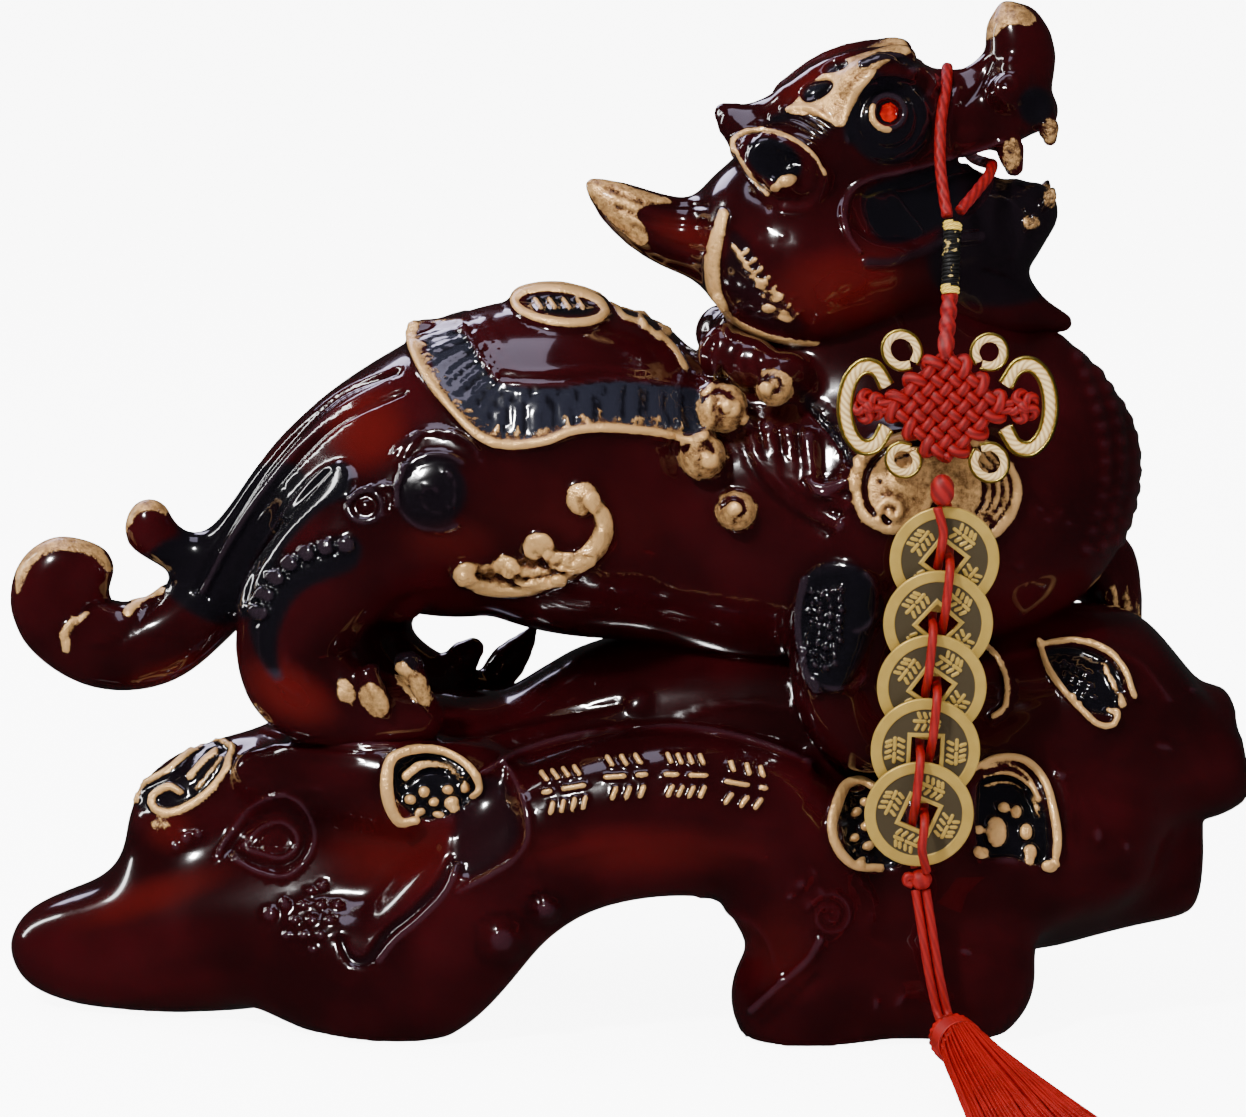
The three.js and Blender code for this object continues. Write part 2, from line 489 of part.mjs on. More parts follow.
// The flat knot: a square slab on its corner, with woven ribs and a flower knot at each side.
function flatKnot() {
  const half = KNOT_SIDE / 2;
  const thick = KNOT_THICKNESS / 2;
  const corner = 3;
  const outline = new THREE.Shape();
  outline.absarc(half - corner, half - corner, corner, 0, Math.PI / 2);
  outline.absarc(corner - half, half - corner, corner, Math.PI / 2, Math.PI);
  outline.absarc(corner - half, corner - half, corner, Math.PI, 1.5 * Math.PI);
  outline.absarc(half - corner, corner - half, corner, 1.5 * Math.PI, 2 * Math.PI);
  const options = { depth: KNOT_THICKNESS - 1.4, bevelEnabled: false, curveSegments: 2 };
  const slab = new THREE.ExtrudeGeometry(outline, options).translate(0, 0, 0.7 - thick);
  const rib = KNOT_SIDE / KNOT_RIBS;
  const ribs = Array.from({ length: KNOT_RIBS }, (_, i) => {
    const across = -half + rib * (i + 0.5);
    const bar = new THREE.CylinderGeometry(rib * 0.48, rib * 0.48, KNOT_SIDE - 1.5, 5).scale(1, 1, 0.7);
    return bar.translate(across, 0, thick - 1.1);
  });
  const upright = new THREE.Matrix4().makeRotationX(Math.PI / 2)
    .multiply(new THREE.Matrix4().makeRotationZ(Math.PI / 4));
  const weave = joined([slab, ...ribs].map(solidOf)).transform([...upright.elements]);
  const reach = KNOT_SIDE * Math.SQRT1_2 + FLOWER_KNOT * 0.26;
  const flowers = BOTH.map((side) => solidOf(
    new THREE.SphereGeometry(FLOWER_KNOT / 2, 8, 4).scale(1, 0.6, 1).translate(side * reach, 0, 0)));
  return geometryOf(joined([weave, ...flowers]).translate(...KNOT_CENTRE.toArray()));
}

// A looped ear of trim cord springs from one side of the flat knot and returns to it.
function ear(angle, reach, spread, root, diameter, steps) {
  const turn = THREE.MathUtils.degToRad(angle);
  const points = Array.from({ length: 9 }, (_, i) => {
    const sweep = THREE.MathUtils.degToRad(-150 + 37.5 * i);
    const out = root + (reach - root) * (0.5 + 0.5 * Math.cos(sweep));
    const side = spread * Math.sin(sweep);
    return new THREE.Vector3(out * Math.cos(turn) - side * Math.sin(turn), 0,
      out * Math.sin(turn) + side * Math.cos(turn)).add(KNOT_CENTRE);
  });
  return cord(points, diameter, steps, 6);
}
const KNOT_REACH = KNOT_SIDE * Math.SQRT1_2;
const EAR_ROOT = KNOT_SIDE / 2 + 1.2;
const EARS = {
  trim_ear_left: [180, KNOT_REACH + 8.6, 9, EAR_ROOT + 1.6, TRIM_CORD, 8],
  trim_ear_right: [0, KNOT_REACH + 9.4, 9.4, EAR_ROOT + 1.6, TRIM_CORD, 8],
  trim_loop_top_left: [128, EAR_ROOT + 8.6, 3.2, EAR_ROOT + 1.4, SMALL_TRIM_CORD, 5],
  trim_loop_top_right: [52, EAR_ROOT + 7.6, 3, EAR_ROOT + 1.4, SMALL_TRIM_CORD, 5],
  trim_loop_low_left: [232, EAR_ROOT + 7, 3, EAR_ROOT + 1.4, SMALL_TRIM_CORD, 5],
  trim_loop_low_right: [308, EAR_ROOT + 8.4, 3.2, EAR_ROOT + 1.4, SMALL_TRIM_CORD, 5],
};

const sleeve = () => {
  const [ring, body] = [SLEEVE_DIAMETER / 2 + 0.25, SLEEVE_DIAMETER / 2];
  return turned([[0, -SLEEVE_LENGTH], [ring, -SLEEVE_LENGTH], [ring, SLEEVE_RING - SLEEVE_LENGTH],
    [body, SLEEVE_RING - SLEEVE_LENGTH], [body, -SLEEVE_RING], [ring, -SLEEVE_RING], [ring, 0], [0, 0]], 8);
};

// Where the sleeve ends, and where the knot's neck runs from there.
const sleeveTurn = between(SLEEVE_TOP, KNOT_CENTRE);
const SLEEVE_FOOT = new THREE.Vector3(0, 0, -SLEEVE_LENGTH).applyQuaternion(sleeveTurn).add(SLEEVE_TOP);
const KNOT_TOP = KNOT_CENTRE.clone().add(new THREE.Vector3(0, 0, KNOT_REACH));

const bead = (diameter, height) => turned([[0, -height / 2], [diameter * 0.34, -height * 0.42],
  [diameter / 2, 0], [diameter * 0.34, height * 0.42], [0, height / 2]], 8);

// The tassel lies on the floor: a bound head and a fluted skirt that spreads and flattens.
const tasselAlong = TASSEL_END.clone().setZ(0).sub(TASSEL_TOP.clone().setZ(0)).normalize();
const tasselAcross = new THREE.Vector3(-tasselAlong.y, tasselAlong.x, 0);
function tasselRings(rows, lobes, depth) {
  const sides = 2 * lobes;
  return new LoftGeometry(rows.map(([out, wide, tall]) => {
    const centre = TASSEL_TOP.clone().setZ(tall / 2).addScaledVector(tasselAlong, out);
    return Array.from({ length: sides }, (_, k) => {
      const angle = (2 * Math.PI * k) / sides;
      const reach = 1 - depth * (k % 2);
      return centre.clone().addScaledVector(tasselAcross, (wide / 2) * reach * Math.cos(angle))
        .add(new THREE.Vector3(0, 0, (tall / 2) * reach * Math.sin(angle)));
    });
  }), { closed: true, capStart: true, capEnd: true });
}
const tasselHead = () => {
  const [size, length] = [TASSEL_HEAD_DIAMETER, TASSEL_HEAD_LENGTH];
  const rows = [[0, 0.45, 0.9], [0.2, 0.9, 0.95], [0.5, 1, 1], [0.8, 0.92, 0.92], [1, 0.84, 0.8]];
  return tasselRings(rows.map(([out, wide, tall]) => [out * length, wide * size, tall * size]), 6, 0);
};
const tasselSkirt = () => {
  const start = TASSEL_HEAD_LENGTH + CLEARANCE;
  const row = (share, wide, tall) => [start + share * TASSEL_LENGTH, wide, tall];
  return tasselRings([row(0, TASSEL_HEAD_DIAMETER * 0.86, TASSEL_HEAD_DIAMETER * 0.78),
    row(0.25, TASSEL_SPREAD * 0.52, 8.5), row(0.6, TASSEL_SPREAD * 0.82, 6), row(1, TASSEL_SPREAD, 3.4)],
  TASSEL_LOCKS, 0.12);
};

// Two strands run down from the end knot to the tassel's head.
const dropRoute = (side) => {
  const top = END_KNOT_CENTRE.clone().add(
    new THREE.Vector3(side * STRAND_APART, 0, -END_KNOT_HEIGHT / 2 - CLEARANCE));
  const foot = TASSEL_TOP.clone().addScaledVector(tasselAlong, -STRAND / 2 - CLEARANCE)
    .addScaledVector(tasselAcross, side * STRAND_APART);
  const sag = (share, out, up) => top.clone().lerp(foot, share).add(new THREE.Vector3(0, out, up));
  return [top, sag(0.25, -0.6, -1.5), sag(0.55, -0.2, -3), sag(0.85, 1.2, -2), foot];
};

// Finishes and assembly.
const finish = (color, roughness, metalness) =>
  new THREE.MeshStandardMaterial({ color, roughness, metalness });
const LACQUER = finish(0x4a0d10, 0.2, 0);
const STONE = finish(0xc01018, 0.05, 0);
const RED_CORD = finish(0xd0201c, 0.8, 0);
const TRIM = finish(0xe3d3a0, 0.6, 0);
const BRASS = finish(0xb79a4a, 0.4, 1);
const SLEEVE_WRAP = finish(0x2a2a20, 0.6, 0);

const pixiu = new THREE.Group();
function addPiece(name, geometry, material) {
  const mesh = new THREE.Mesh(geometry, material);
  mesh.name = name;
  pixiu.add(mesh);
  return mesh;
}

addPiece('pixiu_on_root_stand', geometryOf(figure()), LACQUER);
for (const [name, side] of Object.entries(EYES)) {
  addPiece(`eye_stone_${name}`, geometryOf(eyeStone(side)), STONE);
}

addPiece('charm_loop', cord(LOOP_ROUTE.map((point) => place(...point)), LOOP_CORD, 19), RED_CORD);
const sleevePiece = addPiece('bound_sleeve', sleeve(), SLEEVE_WRAP);
sleevePiece.position.copy(SLEEVE_TOP);
sleevePiece.quaternion.copy(sleeveTurn);
const neckStart = SLEEVE_FOOT.clone().add(new THREE.Vector3(0, 0, -2 * CLEARANCE));
addPiece('knot_neck', cord([neckStart, KNOT_TOP], NECK_DIAMETER, 2), RED_CORD);
addPiece('flat_knot', flatKnot(), RED_CORD);
for (const [name, sizes] of Object.entries(EARS)) addPiece(name, ear(...sizes), TRIM);
addPiece('button_knot', bead(BUTTON_DIAMETER, BUTTON_HEIGHT), RED_CORD).position.copy(BUTTON_CENTRE);
COIN_TURNS.forEach((_, i) => {
  addPiece(`cash_coin_${i + 1}`, coinGeometry(), BRASS).applyMatrix4(coinPose(i));
});
addPiece('strand_left', strand(-1, true), RED_CORD);
addPiece('strand_right', strand(1, false), RED_CORD);
addPiece('end_knot', bead(END_KNOT_DIAMETER, END_KNOT_HEIGHT), RED_CORD).position.copy(END_KNOT_CENTRE);
addPiece('tassel_strand_left', cord(dropRoute(-1), STRAND, 4), RED_CORD);
addPiece('tassel_strand_right', cord(dropRoute(1), STRAND, 4), RED_CORD);
addPiece('tassel_head', tasselHead(), RED_CORD);
addPiece('tassel_skirt', tasselSkirt(), RED_CORD);

export default pixiu;
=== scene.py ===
"""A lacquered pixiu on its root-wood stand, with the cord charm of coins round its snout.

The figure is grown as a field of round limbs, its carving is drawn in side view and laid on the
skin, and the charm is built cord by cord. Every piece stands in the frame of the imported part.
"""
import math

import bmesh
import bpy
import numpy as np
import openvdb
from mathutils import Matrix, Vector


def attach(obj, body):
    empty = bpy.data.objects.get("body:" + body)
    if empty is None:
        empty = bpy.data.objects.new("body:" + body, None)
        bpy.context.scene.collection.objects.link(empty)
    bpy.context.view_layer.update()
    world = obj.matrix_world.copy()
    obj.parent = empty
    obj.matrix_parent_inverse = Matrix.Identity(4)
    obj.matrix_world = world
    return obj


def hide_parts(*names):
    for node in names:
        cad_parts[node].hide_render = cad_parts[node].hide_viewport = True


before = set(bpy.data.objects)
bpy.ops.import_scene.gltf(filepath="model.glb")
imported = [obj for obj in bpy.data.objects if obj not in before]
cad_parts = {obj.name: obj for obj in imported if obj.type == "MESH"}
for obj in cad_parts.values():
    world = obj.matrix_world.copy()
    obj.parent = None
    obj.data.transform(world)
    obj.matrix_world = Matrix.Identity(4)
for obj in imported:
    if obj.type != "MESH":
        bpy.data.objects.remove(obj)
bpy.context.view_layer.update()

bl_info = {
    "name": "Pixiu on a root stand",
    "version": (1, 0, 0),
    "blender": (4, 5, 0),
    "location": "3D View > Sidebar > Pixiu",
    "description": "Builds a lacquered pixiu, its stand and its charm of coins",
    "category": "Add Mesh",
}

MM = 0.001

# The photograph's view: where it looks, how far from, how high, and millimetres to a picture unit
AIM_HEIGHT = 101.7
DISTANCE = 1300.0
ELEVATION = math.radians(10)
UNIT = 0.2275
MIDDLE = (623.0, 558.5)
FRAME_WIDTH = 1246
SENSOR = 36.0
SIN, COS = math.sin(ELEVATION), math.cos(ELEVATION)


def seen(u, v, y):
    """The place in millimetres at depth y that the view shows at picture place (u, v)."""
    across, up = (u - MIDDLE[0]) * UNIT, (MIDDLE[1] - v) * UNIT
    z = (up + up * y * COS / DISTANCE - y * SIN) / (COS + up * SIN / DISTANCE)
    return across * (1 + (y * COS - z * SIN) / DISTANCE), y, z + AIM_HEIGHT


def shown(x, y, z):
    """The picture place of a point, the inverse of seen."""
    rise = z - AIM_HEIGHT
    scale = DISTANCE / (DISTANCE + y * COS - rise * SIN) / UNIT
    return MIDDLE[0] + x * scale, MIDDLE[1] - (y * SIN + rise * COS) * scale


def smooth(low, high, value):
    """0 below low, 1 above high, and an even ramp between."""
    t = np.clip((value - low) / (high - low), 0, 1)
    return t * t * (3 - 2 * t)


def flowing(points, spacing, closed=False):
    """Points at about the same spacing on a curve through all of the given ones."""
    rows = np.array(points, float)
    ends = (rows[-1:], rows[:2]) if closed else (2 * rows[:1] - rows[1:2], 2 * rows[-1:] - rows[-2:-1])
    rows = np.concatenate([ends[0], rows, ends[1]])
    out = []
    for a, b, c, d in zip(rows, rows[1:], rows[2:], rows[3:]):
        count = max(1, int(round(np.linalg.norm((c - b)[:3]) / spacing)))
        for t in np.arange(count) / count:
            out.append(0.5 * (2 * b + (c - a) * t + (2 * a - 5 * b + 4 * c - d) * t**2
                              + (3 * b - a - 3 * c + d) * t**3))
    if not closed:
        out.append(rows[-2])
    return np.array(out)


def blurred(layer, reach, times):
    """A layer averaged over a square, again and again for a rounder blur."""
    for axis in (0, 1) * times:
        total = np.cumsum(np.concatenate([np.repeat(layer.take([0], axis), reach + 1, axis), layer,
                                          np.repeat(layer.take([-1], axis), reach, axis)], axis), axis,
                          np.float64)
        count = layer.shape[axis]
        layer = (np.take(total, range(2 * reach + 1, 2 * reach + 1 + count), axis)
                 - np.take(total, range(count), axis)).astype(np.float32) / (2 * reach + 1)
    return layer


# Carving in side view


class Carving:
    """Height in millimetres, and how gilded, glowing or dark the skin is, over the picture."""

    EDGE = 30
    MARGIN = 3
    FIRM = 2.2
    WINDING_IN = 0.88
    THINNING = 0.3

    def __init__(self):
        wide, high = int(FRAME_WIDTH + 2 * self.EDGE), int(2 * MIDDLE[1] + 2 * self.EDGE)
        self.layers = {name: np.zeros((high, wide), np.float32) for name in ("height", "gold", "glow",
                                                                             "dark")}
        self.u = (np.arange(wide) - float(self.EDGE))[None, :]
        self.v = (np.arange(high) - float(self.EDGE))[:, None]

    def _window(self, rows, margin):
        """The part of the picture that the points reach, as two slices."""
        low = np.min(rows[:, :2], axis=0) - margin + self.EDGE
        high = np.max(rows[:, :2], axis=0) + margin + self.EDGE + 1
        return slice(max(0, int(low[1])), int(high[1]) + 1), slice(max(0, int(low[0])), int(high[0]) + 1)

    def _apply(self, where, share, height, gold, glow, dark, firm=FIRM):
        """Adds the height, and paints the gold, dark and painted-glow layers up to a mask whose edge is
        steeper than the height's.
        """
        self.layers["height"][where] += height * share
        mask = np.clip(share * firm, 0, 1)
        for name, amount in (("gold", gold), ("glow", glow), ("dark", dark)):
            layer = self.layers[name]
            if amount > 0:
                layer[where] = np.maximum(layer[where], amount * mask)
            elif amount < 0:
                layer[where] *= 1 + amount * mask

    def _distance(self, where, rows):
        """How far each place lies from the line, and the line's radius there."""
        u, v = self.u[:, where[1]], self.v[where[0]]
        best = np.full((v.shape[0], u.shape[1]), 1e9)
        size = np.ones_like(best)
        for a, b in zip(rows, rows[1:]):
            run = b[:2] - a[:2]
            t = np.clip(((u - a[0]) * run[0] + (v - a[1]) * run[1]) / max(run @ run, 1e-9), 0, 1)
            far = np.hypot(u - a[0] - t * run[0], v - a[1] - t * run[1])
            radius = a[2] + t * (b[2] - a[2])
            nearer = far / radius < best / size
            best, size = np.where(nearer, far, best), np.where(nearer, radius, size)
        return best, size

    def stroke(self, points, radius, height, gold=0, glow=0, dark=0, flat=False):
        """A line that stands up (height > 0) or is sunk, round or flat across."""
        sizes = radius if isinstance(radius, (list, tuple)) else [radius] * len(points)
        rows = flowing([(*p, r) for p, r in zip(points, sizes)], 5)
        where = self._window(rows, max(sizes) + self.MARGIN)
        far, size = self._distance(where, rows)
        share = smooth(0, 0.5, 1 - far / size) if flat else np.sqrt(np.clip(1 - (far / size) ** 2, 0, 1))
        self._apply(where, share, height, gold, glow, dark)

    def area(self, points, height, edge=4, gold=0, glow=0, dark=0):
        """Everything inside an outline, its edge rounded over the given width."""
        rows = flowing([(*p, 1) for p in points], 8, True)
        rows = np.concatenate([rows, rows[:1]])
        where = self._window(rows, edge + self.MARGIN)
        u, v = self.u[:, where[1]], self.v[where[0]]
        far, _ = self._distance(where, rows)
        inside = np.zeros(far.shape, bool)
        for a, b in zip(rows, rows[1:]):
            crosses = (a[1] > v) != (b[1] > v)
            slope = (b[0] - a[0]) / (b[1] - a[1] if b[1] != a[1] else 1e-9)
            inside ^= crosses & (u < a[0] + (v - a[1]) * slope)
        share = smooth(-edge / 2, edge / 2, np.where(inside, far, -far))
        self._apply(where, share, height, gold, glow, dark)

    def boss(self, u, v, wide, tall, height, tilt=0, gold=0, glow=0, dark=0, soft=False):
        """An oval bump or dent."""
        where = self._window(np.array([(u, v)], float), max(wide, tall) + self.MARGIN)
        du, dv = self.u[:, where[1]] - u, self.v[where[0]] - v
        c, s = math.cos(math.radians(tilt)), math.sin(math.radians(tilt))
        q = ((du * c + dv * s) / wide) ** 2 + ((dv * c - du * s) / tall) ** 2
        share = np.clip(1 - q, 0, 1) ** (1.5 if soft else 0.5)
        self._apply(where, share, height, gold, glow, dark, 1.0 if soft else self.FIRM)

    def painted_glow(self, *spots):
        """Soft ovals of painted glow, where light shines through thin lacquer."""
        for u, v, wide, tall, tilt, glow in spots:
            self.boss(u, v, wide, tall, 0.01, tilt, glow=glow, soft=True)

    def ring(self, u, v, wide, tall, radius, height, tilt=0, start=0, sweep=360, **finish):
        """A raised oval ring, or a part of it."""
        c, s = math.cos(math.radians(tilt)), math.sin(math.radians(tilt))
        rows = []
        for i in range(13):
            a = math.radians(start + sweep * i / 12)
            p, q = wide * math.cos(a), tall * math.sin(a)
            rows.append((u + p * c - q * s, v + p * s + q * c))
        self.stroke(rows, radius, height, **finish)

    def spiral(self, u, v, size, turns, start, radius, height, **finish):
        """A scroll that winds in to its eye."""
        rows = []
        count = int(9 * turns) + 2
        for i in range(count):
            t = i / (count - 1)
            a = math.radians(start) + 2 * math.pi * turns * t
            reach = size * (1 - self.WINDING_IN * t)
            rows.append((u + reach * math.cos(a), v + reach * math.sin(a)))
        self.stroke(rows, [radius * (1 - self.THINNING * i / count) for i in range(count)], height, **finish)

    def copy(self):
        """The same carving, for the hidden side."""
        other = Carving()
        other.layers = {name: layer.copy() for name, layer in self.layers.items()}
        return other

    def settle(self):
        """Rounds the relief as thick lacquer does, and splits it into broad and fine parts."""
        layers = self.layers
        height = blurred(layers["height"], 1, 2)
        layers["height"] = blurred(height, 4, 2)
        layers["fine"] = height - layers["height"]
        layers["crest"] = np.clip(0.5 + 0.7 * (height - blurred(height, 7, 2)), 0, 1)
        layers["gold"] = blurred(layers["gold"], 1, 1)
        layers["dark"] = blurred(layers["dark"], 3, 2)
        rough = np.abs(layers["fine"]) + 0.25 * np.abs(layers["gold"] - blurred(layers["gold"], 3, 1))
        layers["detail"] = blurred(rough, 3, 1)

    def sample(self, name, u, v):
        """The layer's value at many picture places."""
        layer = self.layers[name]
        a = np.clip(u + self.EDGE, 0, layer.shape[1] - 1.001)
        b = np.clip(v + self.EDGE, 0, layer.shape[0] - 1.001)
        i, j = a.astype(np.int32), b.astype(np.int32)
        a, b = (a - i).astype(np.float32), (b - j).astype(np.float32)
        return ((layer[j, i] * (1 - a) + layer[j, i + 1] * a) * (1 - b)
                + (layer[j + 1, i] * (1 - a) + layer[j + 1, i + 1] * a) * b)


# Solid forms


class Form:
    """A field of distances to a skin in millimetres, built from limbs and turned into a mesh."""

    # How far from the skin the field is known, and how far off the carving is laid on it
    REACH = 7.0
    CARVED = 4.6
    # Points along a limb, and its least radius
    SPACING = 3.5
    THINNEST = 0.3
    # Half the seam between the two sides, and the depths between which carving fades
    SEAM = 2.5
    FADE = (13, 26)
    # The mesh: its first lattice, its triangles at most, and what one split face costs
    COARSER = 1.35
    MOST = 188000
    SPLIT_COST = 8.2
    LEAST_DETAIL = 0.02
    HIDDEN_DETAIL = 0.4

    def __init__(self, low, high, pitch, middle=0.0):
        self.low, self.pitch, self.middle = np.array(low, float), pitch, middle
        counts = np.ceil((np.array(high) - self.low) / pitch).astype(int) + 1
        self.axes = [self.low[k] + pitch * np.arange(counts[k], dtype=np.float32) for k in range(3)]
        self.field = np.full(counts, self.REACH, np.float32)

    def _slices(self, low, high):
        """The lattice cells between two corners in millimetres."""
        a = np.floor((np.array(low) - self.low) / self.pitch).astype(int)
        b = np.ceil((np.array(high) - self.low) / self.pitch).astype(int) + 1
        a, b = np.maximum(a, 0), np.minimum(b, self.field.shape)
        return tuple(slice(int(p), int(max(p, q))) for p, q in zip(a, b))

    def _chain(self, rows, width):
        """Distances to a chain of round links, wider by a factor in depth, and the cells they fill."""
        pad = self.REACH + 1
        size = rows[:, 3:4] * np.array([1, max(width, 1), 1])
        box = self._slices((rows[:, :3] - size).min(0) - pad, (rows[:, :3] + size).max(0) + pad)
        out = np.full([s.stop - s.start for s in box], self.REACH, np.float32)
        squeeze = np.array([1, 1 / width, 1])
        for a, b in zip(rows, rows[1:]):
            reach = max(a[3], b[3]) * np.array([1, max(width, 1), 1]) + self.REACH
            cut = self._slices(np.minimum(a[:3], b[:3]) - reach, np.maximum(a[:3], b[:3]) + reach)
            cut = tuple(slice(max(s.start, c.start), min(s.stop, c.stop)) for s, c in zip(cut, box))
            x, y, z = (axis[s] for axis, s in zip(self.axes, cut))
            start, run = a[:3] * squeeze, (b[:3] - a[:3]) * squeeze
            dx, dy, dz = (x - start[0])[:, None, None], (y / width - start[1])[None, :, None], z - start[2]
            t = np.clip((dx * run[0] + dy * run[1] + dz * run[2]) / max(run @ run, 1e-6), 0, 1)
            far = np.sqrt((dx - t * run[0]) ** 2 + (dy - t * run[1]) ** 2 + (dz - t * run[2]) ** 2)
            far -= a[3] + t * (b[3] - a[3])
            local = tuple(slice(s.start - c.start, s.stop - c.start) for s, c in zip(cut, box))
            np.minimum(out[local], far, out=out[local])
        return box, out

    def _blend(self, box, other, soft, sign):
        """Joins (sign 1) or cuts (sign -1), the edge rounded over `soft`."""
        mine = sign * self.field[box]
        h = np.clip(soft - np.abs(mine - other), 0, None) / soft
        self.field[box] = sign * (np.minimum(mine, other) - h * h * soft / 4)

    def limb(self, points, soft=3.0, width=1.0, cut=False):
        """A limb through [x, y, z, radius] points, joined on, or cut away."""
        rows = flowing(points if len(points) > 1 else [*points, *points], self.SPACING)
        rows[:, 3] = np.maximum(rows[:, 3], self.THINNEST)
        box, other = self._chain(rows, width)
        self._blend(box, other, soft, -1 if cut else 1)

    def drawn(self, points, soft=1.5, width=1.0, cut=False, both=False):
        """A limb through (u, v, y, radius) points of the picture, radius in picture units."""
        for side in (1, -1) if both else (1,):
            rows = []
            for u, v, y, radius in points:
                x, _, z = seen(u, v, y)
                depth = y if side > 0 else 2 * self.middle - y
                rows.append((x, depth, z, radius * UNIT))
            self.limb(rows, soft, width, cut)

    def below(self, height):
        """Everything under a height goes, so that the form stands flat."""
        np.maximum(self.field, (height - self.axes[2])[None, None, :], out=self.field)

    def flatten(self, place, away, soft, under=None):
        """Cuts off what lies beyond a plane, or only what of it lies under a height."""
        x, y, z = self.axes
        beyond = ((x - place[0]) * away[0])[:, None, None] + (z - place[2]) * away[2]
        if under is not None:
            beyond = np.minimum(beyond, (under - z)[None, None, :])
        beyond = np.broadcast_to(beyond, self.field.shape)
        h = np.clip(soft - np.abs(self.field - beyond), 0, None) / soft
        self.field = (np.maximum(self.field, beyond) + h * h * soft / 4).astype(np.float32)

    def soften(self, times=2):
        """Evens out the joints between limbs, so that reflections run smoothly over them."""
        for _ in range(times):
            for axis in range(3):
                self.field = (np.roll(self.field, 2, axis) + np.roll(self.field, 1, axis) + self.field
                              + np.roll(self.field, -1, axis) + np.roll(self.field, -2, axis)) / 5

    def even_out(self):
        """The field becomes a true distance near the skin, so that carving has its own depth."""
        slopes = np.gradient(self.field, self.pitch)
        steep = np.sqrt(sum(s * s for s in slopes))
        near = np.abs(self.field) < self.REACH - 1
        self.field = np.where(near, self.field / np.clip(steep, 0.4, 1.6), self.field)

    def _sides(self, y, i, k):
        """Weights of the side that shows and of the hidden one at many places."""
        inside = self.field < 0
        some = inside.any(axis=1)
        first = self.axes[1][inside.argmax(axis=1)]
        last = self.axes[1][self.field.shape[1] - 1 - inside[:, ::-1].argmax(axis=1)]
        first, last = np.where(some, first, 999), np.where(some, last, -999)
        a, b = first[i, k], last[i, k]
        bare = a > 900
        a, b = np.where(bare, y, a), np.where(bare, y, b)
        middle = np.where(bare, self.middle, (a + b) / 2)
        hidden = smooth(-self.SEAM, self.SEAM, y - middle)
        return (1 - hidden) * (1 - smooth(*self.FADE, y - a)), hidden * (1 - smooth(*self.FADE, b - y))

    def carve(self, front, back):
        """Lays the two carvings on the skin."""
        i, j, k = np.nonzero(np.abs(self.field) < self.CARVED)
        x, y, z = self.axes[0][i], self.axes[1][j], self.axes[2][k]
        near, far = self._sides(y, i, k)
        lift = near * front.sample("height", *shown(x, y, z))
        lift += far * back.sample("height", *shown(x, 2 * self.middle - y, z))
        self.field[i, j, k] -= lift

    def _at(self, points):
        """The field's value at points in millimetres."""
        place = (points - self.low) / self.pitch
        place = np.clip(place, 0, np.array(self.field.shape) - 1.001)
        cell = place.astype(int)
        part = place - cell
        value = 0
        for corner in range(8):
            step = np.array([corner & 1, corner >> 1 & 1, corner >> 2])
            weight = np.prod(np.where(step, part, 1 - part), axis=1)
            value = value + weight * self.field[tuple((cell + step).T)]
        return value

    def _outward(self, points):
        """Directions away from the skin."""
        steps = np.eye(3) * self.pitch * 0.7
        slope = np.stack([self._at(points + step) - self._at(points - step) for step in steps], axis=1)
        return slope / np.maximum(np.linalg.norm(slope, axis=1), 1e-6)[:, None]

    def _reader(self, points, front, back):
        """A function that reads a layer of the two carvings at the given points."""
        x, y, z = points.T
        i, k = (np.clip(np.round((p - self.low[n]) / self.pitch).astype(int), 0, self.field.shape[n] - 1)
                for p, n in ((x, 0), (z, 2)))
        near, far = self._sides(y, i, k)
        ahead, behind = shown(x, y, z), shown(x, 2 * self.middle - y, z)
        return lambda layer: near * front.sample(layer, *ahead) + far * back.sample(layer, *behind)

    def _coarser(self, factor):
        """The field read on a wider lattice."""
        field = self.field
        for axis in range(3):
            place = np.arange(int((field.shape[axis] - 1) / factor) + 1) * factor
            i = np.minimum(place.astype(int), field.shape[axis] - 2)
            t = (place - i).astype(np.float32).reshape([-1 if k == axis else 1 for k in range(3)])
            field = field.take(i, axis) * (1 - t) + field.take(i + 1, axis) * t
        return np.ascontiguousarray(field, np.float32)

    def _first_skin(self, name):
        """The skin on the wider lattice, its points in millimetres."""
        grid = openvdb.FloatGrid(background=self.REACH)
        grid.copyFromArray(self._coarser(self.COARSER))
        points, _, quads = grid.convertToPolygons(isovalue=0.0, adaptivity=0.0)
        points = points * self.pitch * self.COARSER + self.low
        keep = largest_shell(len(points), quads)
        quads = quads[keep[quads[:, 0]]]
        used = np.unique(quads)
        index = np.zeros(len(points), np.int64)
        index[used] = np.arange(len(used))
        rough = new_mesh(name, points[used], index[quads])
        skin = bmesh.new()
        skin.from_mesh(rough)
        bpy.data.meshes.remove(rough)
        return skin

    def _refine(self, skin, front, back, share):
        """Splits the faces with the most carving, and spends a share of the triangles left."""
        skin.verts.index_update()
        places = np.array([vert.co for vert in skin.verts])
        detail = self._reader(places, front, back)("detail")
        detail = detail * np.where(places[:, 1] > self.middle, self.HIDDEN_DETAIL, 1)
        spare = self.MOST - sum(len(face.verts) - 2 for face in skin.faces)
        faces = np.array([max(detail[vert.index] for vert in face.verts) for face in skin.faces])
        room = int(max(0, spare) * share / self.SPLIT_COST)
        limit = self.LEAST_DETAIL
        if 0 < room < len(faces):
            limit = max(limit, float(np.sort(faces)[-room]))
        if room > 100:
            chosen = {edge for face, value in zip(skin.faces, faces) if value > limit for edge in face.edges}
            bmesh.ops.subdivide_edges(skin, edges=list(chosen), cuts=1, use_grid_fill=True)

